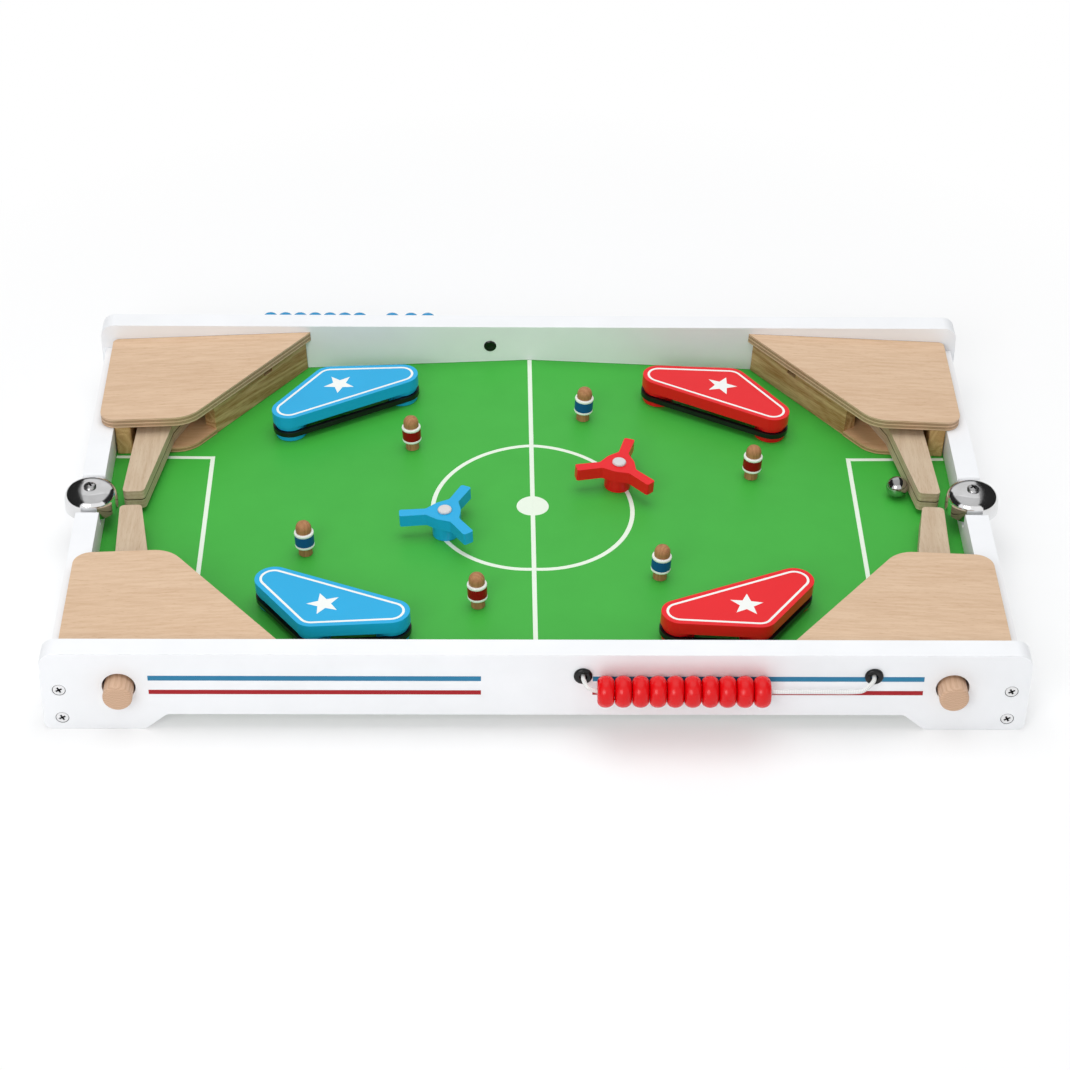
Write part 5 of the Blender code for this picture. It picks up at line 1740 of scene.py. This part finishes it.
class PINBALL_OT_guards(bpy.types.Operator):
    """Makes the guards under the covers: base plates, blocks and pins"""

    bl_idname = "pinball.guards"
    bl_label = "Guards"

    def execute(self, context):
        for label, side, end in corners():
            node = label + "_guard"
            base_wood = ply_board("guard_base_ply", "base_light", "base_dark", GAP, GUARD_BASE_THICKNESS / 3, False)
            base = slab(label + "_guard_base", [mirrored(self.base_outline(), side, end)], GAP, GUARD_BASE_TOP)
            cutters = [
                slab("block_cutter", [mirrored(outline, side, end)], -CUT_OVERRUN, GUARD_TOP)
                for outline in (self.slant_outline(CUT_OVERRUN), self.block_outline(CUT_OVERRUN))
            ]
            combine(base, cutters, "DIFFERENCE")
            round_edges(base, sizes().ply_edge / 2, 2)
            finish(placed(base, deck(side)), base_wood, "root", [node])
            heading = guard_slant()[2]
            turn = -atan2(end * heading.y, side * heading.x)
            slant_wood = solid_wood(label + "_slant_pine", "pine_light", "pine_dark", turn)
            slant = slab(label + "_slant_block", [mirrored(self.slant_outline(0), side, end)], GAP, GUARD_TOP)
            round_edges(slant, sizes().ply_edge, 2)
            floor = FLIPPER_TOP + GAP
            pocket = slab("pocket_cutter", [mirrored(band_pocket(), side, end)], floor, GUARD_TOP + CUT_OVERRUN)
            combine(slant, [pocket], "DIFFERENCE")
            finish(placed(slant, deck(side)), slant_wood, "root", [node])
            block = slab(label + "_end_block", [mirrored(self.block_outline(0), side, end)], GAP, GUARD_TOP)
            round_edges(block, sizes().ply_edge, 2)
            # A lighter copy of the guards' pine: painted light on the end blocks.
            brightened_end_wood = solid_wood("end_block_pine", "block_light", "block_dark", radians(90))
            finish(placed(block, deck(side)), brightened_end_wood, "root", [node])
            anchor = band_anchor()
            pivot = rod("pivot_pin", PIN_RADIUS, GUARD_BASE_TOP, GUARD_TOP)
            placed(pivot, shift(side * PIVOT_ACROSS, end * FLIPPER_PIVOT_ALONG, 0))
            peg = rod("anchor_peg", ANCHOR_PEG_RADIUS, floor, GUARD_TOP)
            placed(peg, shift(side * anchor.x, end * anchor.y, 0))
            pins = joined(label + "_guard_pins", [pivot, peg])
            finish(placed(pins, deck(side)), zinc_steel(), "root", [node])
        return {"FINISHED"}

    def base_outline(self):
        near_edge = COVER_NEAR_EDGE + GUARD_SETBACK - GUARD_RIM
        return cover_outline(GUARD_SETBACK - GUARD_RIM, GUARD_OUTER, near_edge, END_BLOCK_RADIUS, 0)

    def slant_outline(self, grown_by):
        """The slanting block, or the cutter that makes room for it, which reaches past the base plate's rim."""
        near, far, heading, inward = guard_slant()
        wall = INNER_WALL - GAP - GUARD_RIM + grown_by
        inner_near = near + inward * SLANT_BLOCK_THICKNESS
        inner_far = inner_near + heading * ((wall - inner_near.y) / heading.y)
        outer_near = near - inward * grown_by
        outer_far = outer_near + heading * ((wall - outer_near.y) / heading.y)
        return [tuple(outer_near), tuple(inner_near), tuple(inner_far), tuple(outer_far)]

    def block_outline(self, grown_by):
        """The end block, or the cutter that makes room for it."""
        near_edge = COVER_NEAR_EDGE + GUARD_SETBACK - grown_by
        outer = GUARD_OUTER - GUARD_RIM + grown_by
        inner = GUARD_OUTER - GUARD_RIM - END_BLOCK_WIDTH
        far_edge = COVER_NEAR_EDGE + GUARD_SETBACK + END_BLOCK_LENGTH
        radius = END_BLOCK_RADIUS
        return belt([
            (inner + radius, near_edge + radius, radius),
            (outer - radius, near_edge + radius, radius),
            (outer, far_edge, 0),
            (inner, far_edge, 0),
        ])


class PINBALL_OT_flippers(bpy.types.Operator):
    """Makes the four flippers with their pegs"""

    bl_idname = "pinball.flippers"
    bl_label = "Flippers"

    def execute(self, context):
        seam = FLIPPER_UNDER + FLIPPER_THICKNESS / 2
        ply = ply_board(
            "flipper_ply", "flipper_light", "flipper_dark", FLIPPER_UNDER, FLIPPER_THICKNESS / 10, True, seam,
        )
        for label, side, end in corners():
            body = label + "_flipper"
            bore = circle(0, 0, PIN_RADIUS + PIN_CLEARANCE, 40)
            flipper = slab(body, [mirrored(flipper_outline(), side, end), bore], 0, FLIPPER_THICKNESS)
            round_edges(flipper, sizes().ply_edge, 3)
            at = band_hook()
            hook = rod(body + "_peg", HOOK_RADIUS, FLIPPER_THICKNESS, FLIPPER_THICKNESS + HOOK_HEIGHT)
            placed(hook, shift(side * at.x, end * at.y, 0))
            place = deck(side) @ shift(side * PIVOT_ACROSS, end * FLIPPER_PIVOT_ALONG, FLIPPER_UNDER)
            finish(placed(flipper, place), ply, body, [body])
            finish(placed(hook, place), zinc_steel(), body, [body])
        return {"FINISHED"}


class PINBALL_OT_return_bands(bpy.types.Operator):
    """Makes the rubber bands that pull the flippers back"""

    bl_idname = "pinball.return_bands"
    bl_label = "Return bands"

    def execute(self, context):
        anchor = band_anchor()
        hook = band_hook() + Vector((PIVOT_ACROSS, FLIPPER_PIVOT_ALONG))
        slack = RETURN_BAND_RADIUS + GAP
        above = (FLIPPER_TOP + COVER_UNDER) / 2
        loop = belt([
            (anchor.x, anchor.y, ANCHOR_PEG_RADIUS + slack),
            (hook.x, hook.y, HOOK_RADIUS + slack),
        ])
        evened = []
        for near, far in zip(loop, loop[1:] + loop[:1]):
            steps = max(1, round(hypot(far[0] - near[0], far[1] - near[1]) / 0.002))
            for step in range(steps):
                share = step / steps
                evened.append((near[0] + (far[0] - near[0]) * share, near[1] + (far[1] - near[1]) * share))
        for label, side, end in corners():
            place = deck(side)
            route = [place @ Vector((side * x, end * y, above)) for x, y in evened]
            band = swept(label + "_return_band", route, RETURN_BAND_RADIUS, 12, closed=True)
            black = rubber("band_rubber", "rubber", 0.55)
            finish(band, black, None, [label + "_return_band"], flats=False)
            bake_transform(band)
        return {"FINISHED"}


class PINBALL_OT_buttons(bpy.types.Operator):
    """Makes the four push buttons with their cross pins"""

    bl_idname = "pinball.buttons"
    bl_label = "Push buttons"

    def execute(self, context):
        length = OUTER_FACE + BUTTON_PROUD - button_nose()
        radius = BUTTON_RADIUS
        inside = BUTTON_PROUD + PLANK_THICKNESS + CROSS_PIN_INSET
        for label, side, end in corners():
            body = label + "_button"
            button = turned(body, [(0, 0), (radius, 0), (radius, -length), (0, -length)])
            round_edges(button, BUTTON_EDGE_ROUND, 4)
            pin = rod(body + "_cross_pin", CROSS_PIN_RADIUS, -CROSS_PIN_LENGTH / 2, CROSS_PIN_LENGTH / 2)
            placed(pin, shift(0, 0, -inside), turn_about("Y", pi / 2))
            outer_end = end * (OUTER_FACE + BUTTON_PROUD)
            place = deck(side) @ shift(side * BUTTON_ACROSS, outer_end, BUTTON_ABOVE) @ turn_about("X", -end * pi / 2)
            finish(placed(button, place), dowel_wood(), body, [body])
            finish(placed(pin, place), zinc_steel(), body, [body])
        return {"FINISHED"}


class PINBALL_OT_bumpers(bpy.types.Operator):
    """Makes the four corner bumpers with their posts, bands, white lines and stars"""

    bl_idname = "pinball.bumpers"
    bl_label = "Corner bumpers"

    def execute(self, context):
        under = BUMPER_HEIGHT - BUMPER_PLATE_THICKNESS
        for label, side, end in corners():
            tint = TEAM_COLOURS["left" if side < 0 else "right"]
            paint = team_paint(tint + "_paint")
            slot = tint + "_paint"
            node = label + "_bumper"
            place = deck(side)
            plate = slab(node, [mirrored(belt(bumper_rounds(BUMPER_CORNER_RADIUS)), side, end)], under, BUMPER_HEIGHT)
            round_edges(plate, sizes().bumper_edge, 6)
            finish(placed(plate, place), paint, "root", [node])
            self.add_posts(label, side, end, under, paint, slot)
            self.add_print(label, side, end)
            self.add_band(label, side, end)
        return {"FINISHED"}

    def add_posts(self, label, side, end, under, paint, slot):
        edge = POST_EDGE_ROUND
        foot_top = GAP + POST_FOOT_HEIGHT
        collar_under = foot_top + GAP + BAND_HEIGHT + GAP
        post = turned("post_pattern", [
            (0, under),
            (POST_FOOT_RADIUS, under),
            (POST_FOOT_RADIUS, collar_under + edge),
            (POST_FOOT_RADIUS - edge * 0.3, collar_under + edge * 0.3),
            (POST_FOOT_RADIUS - edge, collar_under),
            (POST_NECK_RADIUS, collar_under),
            (POST_NECK_RADIUS, foot_top),
            (POST_FOOT_RADIUS - edge, foot_top),
            (POST_FOOT_RADIUS - edge * 0.3, foot_top - edge * 0.3),
            (POST_FOOT_RADIUS, foot_top - edge),
            (POST_FOOT_RADIUS, GAP),
            (0, GAP),
        ])
        points = [(side * across, end * along, 0) for across, along, _ in bumper_rounds(0)]
        posts = grown(
            point_mesh(label + "_bumper_posts", points), stand_at_points_tree(), Piece=post, Material=paint,
        )
        discard(post)
        finish(placed(posts, deck(side)), paint, "root", [label + "_bumper"])

    def add_print(self, label, side, end):
        ink = printed("line_white")
        line = mirrored(belt(bumper_rounds(BUMPER_CORNER_RADIUS - sizes().inlay_inset)), side, end)
        ring = ink_lines(label + "_ring", [line + line[:1]], sizes().inlay_width, ink, BUMPER_HEIGHT)
        star = star_outline(side * STAR_PLACE[0], end * STAR_PLACE[1], sizes().star_reach, STAR_TURNS[label])
        emblem = slab(label + "_star", [star], BUMPER_HEIGHT, BUMPER_HEIGHT + PRINT_THICKNESS)
        inlay = joined(label + "_bumper_inlay", [ring, emblem])
        finish(placed(inlay, deck(side)), ink, "root", flats=False)

    def add_band(self, label, side, end):
        under = GAP + POST_FOOT_HEIGHT + GAP
        inner = POST_NECK_RADIUS + GAP
        loops = [
            mirrored(belt(bumper_rounds(radius)), side, end) for radius in (inner + BAND_THICKNESS, inner)
        ]
        band = slab(label + "_bumper_band", loops, under, under + BAND_HEIGHT)
        round_edges(band, BAND_EDGE_ROUND, 4)
        black = rubber("bumper_rubber", "rubber", 0.3)
        finish(placed(band, deck(side)), black, "root", [label + "_bumper_band"])


class PINBALL_OT_players(bpy.types.Operator):
    """Makes the six turned players"""

    bl_idname = "pinball.players"
    bl_label = "Players"

    def execute(self, context):
        for half_label, side in SIDES.items():
            for index, (across, along) in enumerate(PLAYER_PLACE_SHARES):
                end = side if index else -side
                node = f"{half_label}_{PLAYER_NAMES[index]}_player"
                player = self.turn_player(node)
                place = deck(side) @ shift(side * across * RAIL_INNER, end * along * INNER_WALL, GAP)
                finish(
                    placed(player, place), player_finish(PLAYER_COLOURS[half_label][index]), "root",
                    [node], sharp=radians(50),
                )
        return {"FINISHED"}

    def turn_player(self, name):
        """Head, shirt between two beaded trims, and legs."""
        upper = [(r, SHIRT_TOP_SHARE - h * SHIRT_TRIM_SHARE) for r, h in PLAYER_TRIM_SHARES]
        lower = [(r, SHIRT_UNDER_SHARE + h * SHIRT_TRIM_SHARE) for r, h in reversed(PLAYER_TRIM_SHARES)]
        gather = 0.012
        shirt = [
            (0.972, SHIRT_TOP_SHARE - SHIRT_TRIM_SHARE - gather),
            (0.972, SHIRT_UNDER_SHARE + SHIRT_TRIM_SHARE + gather),
        ]
        shares = list(PLAYER_HEAD_SHARES) + upper + shirt + lower + list(PLAYER_BODY_SHARES) + [(0, 0)]
        return turned(name, [(r * PLAYER_SHIRT_RADIUS, h * PLAYER_HEIGHT) for r, h in shares])


class PINBALL_OT_spinners(bpy.types.Operator):
    """Makes the two spinners and the spindles that they turn on"""

    bl_idname = "pinball.spinners"
    bl_label = "Spinners"

    def execute(self, context):
        for label, side in SIDES.items():
            tint = TEAM_COLOURS[label]
            paint = team_paint(tint + "_paint")
            across = side * SPINNER_PLACE_SHARES[0] * RAIL_INNER
            along = side * SPINNER_PLACE_SHARES[1] * INNER_WALL
            spot = deck(side) @ shift(across, along, 0)
            bore = circle(0, 0, SPINDLE_AXLE_RADIUS + PIN_CLEARANCE, 40)
            spinner = slab(label + "_spinner", [spinner_outline(), bore], 0, SPINNER_ARM_THICKNESS)
            round_edges(spinner, sizes().spinner_edge, 4)
            placed(spinner, spot, shift(0, 0, SPINNER_UNDER), turn_about("Z", SPINNER_TURNS[label]))
            finish(spinner, paint, label + "_spinner", [label + "_spinner"])
            node = label + "_spindle"
            base_top = GAP + SPINDLE_BASE_HEIGHT
            base = turned(node + "_base", [
                (0, SPINDLE_CAP_UNDER), (SPINDLE_AXLE_RADIUS, SPINDLE_CAP_UNDER), (SPINDLE_AXLE_RADIUS, base_top),
                (SPINDLE_BASE_RADIUS, base_top), (SPINDLE_BASE_RADIUS, GAP), (0, GAP),
            ])
            finish(placed(base, spot), paint, "root", [node])
            top = SPINDLE_CAP_UNDER + SPINDLE_CAP_THICKNESS
            cap = [(0, top)]
            for step in range(7):
                angle = radians(90 - step * 15)
                cap.append((
                    SPINDLE_CAP_RADIUS - SPINDLE_CAP_ROUND * (1 - cos(angle)),
                    top - SPINDLE_CAP_ROUND * (1 - sin(angle)),
                ))
            cap += [(SPINDLE_CAP_RADIUS, SPINDLE_CAP_UNDER), (0, SPINDLE_CAP_UNDER)]
            lacquer = painted("cap_lacquer", "cap_white", 0.4, 0.0)
            finish(placed(turned(node + "_cap", cap), spot), lacquer, "root", [node])
        return {"FINISHED"}


class PINBALL_OT_bells(bpy.types.Operator):
    """Makes the two bells, their posts and their screws"""

    bl_idname = "pinball.bells"
    bl_label = "Bells"

    def execute(self, context):
        top = RAIL_TOP + BELL_PROUD
        rim = top - BELL_HEIGHT
        wall = BELL_WALL
        outer = [(r * BELL_RADIUS, rim + h * BELL_HEIGHT) for r, h in BELL_PROFILE_SHARES]
        inner = [
            (max(BELL_HOLE_RADIUS, r * (BELL_RADIUS - wall)), rim + h * (BELL_HEIGHT - wall))
            for r, h in reversed(BELL_PROFILE_SHARES)
        ]
        chrome = metal("bell_chrome", 0.80, 0.07, 1500.0)
        steel = zinc_steel()
        for label, side in SIDES.items():
            spot = shift(side * RAIL_MIDDLE, 0, 0)
            bell = turned(label + "_bell", outer + inner, ring=True, steps=96)
            finish(placed(bell, spot), chrome, "root", [label + "_bell"], flats=False)
            node = label + "_bell_post"
            post_top = top - wall - GAP
            post = turned(label + "_bell_stem", [
                (0, top + GAP), (BELL_SCREW_RADIUS, top + GAP), (BELL_SCREW_RADIUS, post_top),
                (BELL_POST_RADIUS, post_top), (BELL_POST_RADIUS, NOTCH_FLOOR + GAP), (0, NOTCH_FLOOR + GAP),
            ])
            finish(placed(post, spot), steel, "root", [node])
            seat = shift(0, 0, top + GAP)
            screw = cross_screw(label + "_bell_screw", BELL_SCREW_HEAD_RADIUS, BELL_SCREW_HEAD_HEIGHT, 0.75)
            finish(placed(screw, spot, seat), steel, "root", [node], sharp=radians(40))
            # A dark cross of painted shade at the bottom of the screw's recess.
            shade = cross_shade(label + "_bell_screw_shade", BELL_SCREW_HEAD_RADIUS, BELL_SCREW_HEAD_HEIGHT)
            finish(placed(shade, spot, seat), recess_shade(), "root", [node])
        return {"FINISHED"}


class PINBALL_OT_ball(bpy.types.Operator):
    """Makes the steel ball"""

    bl_idname = "pinball.ball"
    bl_label = "Ball"

    def execute(self, context):
        work = bmesh.new()
        bmesh.ops.create_icosphere(work, subdivisions=5, radius=BALL_RADIUS)
        mesh = bpy.data.meshes.new("ball")
        work.to_mesh(mesh)
        work.free()
        centre = ball_place()
        ball = placed(new_piece("steel_ball", mesh), deck(1), shift(centre.x, centre.y, GAP + BALL_RADIUS))
        finish(ball, metal("ball_steel", 0.52, 0.06, 1200.0), "ball", ["ball"], flats=False)
        return {"FINISHED"}


class PINBALL_OT_beads(bpy.types.Operator):
    """Makes the two score rows' beads"""

    bl_idname = "pinball.beads"
    bl_label = "Score beads"

    def execute(self, context):
        bead = self.turn_bead()
        for label, tint in (("front", "red"), ("back", "blue")):
            paint = bead_paint(tint)
            reach = NEAR_EYELET + ROW_STARTS[label]
            number = 0
            for count, space in zip(BEAD_COUNTS[label], SPACE_SHARES[label]):
                reach += space * BEAD_PITCH
                number += count == 1
                name = f"{label}_bead_{number}" if count == 1 else f"{label}_bead_stack"
                row = grown(
                    point_mesh(name, [(0, 0, 0)]), threaded_row_tree(), Piece=bead, Count=count, Pitch=BEAD_PITCH,
                    Material=paint,
                )
                x = reach + count * BEAD_PITCH / 2
                placed(row, row_turn(label), shift(x, -BEAD_OUT, EYELET_HEIGHT - CORD_DROPS[label]))
                finish(row, paint, name, [name], flats=False)
                reach += count * BEAD_PITCH
        discard(bead)
        return {"FINISHED"}

    def turn_bead(self):
        """One bead about the x axis: a flat disc with a full, rounded rim."""
        half = BEAD_PITCH / 2 - GAP / 2
        face = BEAD_FACE_SHARE * BEAD_RADIUS
        profile = [(BEAD_BORE_RADIUS, half - 0.0004), (BEAD_BORE_RADIUS + 0.0004, half)]
        for step in range(21):
            angle = radians(90 - step * 9)
            bulge = max(0.0, cos(angle)) ** 0.95
            profile.append((face + (BEAD_RADIUS - face) * bulge, half * sin(angle)))
        profile += [(BEAD_BORE_RADIUS + 0.0004, -half), (BEAD_BORE_RADIUS, -half + 0.0004)]
        return placed(turned("bead_pattern", profile, ring=True, steps=64), turn_about("Y", pi / 2))


class PINBALL_PT_panel(bpy.types.Panel):
    """Lists the pinball game's sizes, colours and pieces"""

    bl_idname = "PINBALL_PT_panel"
    bl_label = "Tabletop pinball game"
    bl_space_type = "VIEW_3D"
    bl_region_type = "UI"
    bl_category = "Pinball"

    def draw(self, context):
        for settings in (context.scene.pinball_sizes, context.scene.pinball_colours):
            column = self.layout.column(align=True)
            for name in settings.__annotations__:
                column.prop(settings, name)
        for operator in OPERATORS:
            self.layout.operator(operator.bl_idname)


OPERATORS = (
    PINBALL_OT_studio,
    PINBALL_OT_score_cords,
    PINBALL_OT_planks,
    PINBALL_OT_rails,
    PINBALL_OT_field,
    PINBALL_OT_covers,
    PINBALL_OT_guards,
    PINBALL_OT_flippers,
    PINBALL_OT_return_bands,
    PINBALL_OT_buttons,
    PINBALL_OT_bumpers,
    PINBALL_OT_players,
    PINBALL_OT_spinners,
    PINBALL_OT_bells,
    PINBALL_OT_ball,
    PINBALL_OT_beads,
)
CLASSES = (PinballSizes, PinballColours) + OPERATORS + (PINBALL_PT_panel,)


def register():
    for item in CLASSES:
        bpy.utils.register_class(item)
    bpy.types.Scene.pinball_sizes = PointerProperty(type=PinballSizes)
    bpy.types.Scene.pinball_colours = PointerProperty(type=PinballColours)


def unregister():
    del bpy.types.Scene.pinball_colours
    del bpy.types.Scene.pinball_sizes
    for item in reversed(CLASSES):
        bpy.utils.unregister_class(item)


def main():
    register()
    for operator in OPERATORS:
        family, name = operator.bl_idname.split(".")
        getattr(getattr(bpy.ops, family), name)()


if __name__ == "__main__":
    main()
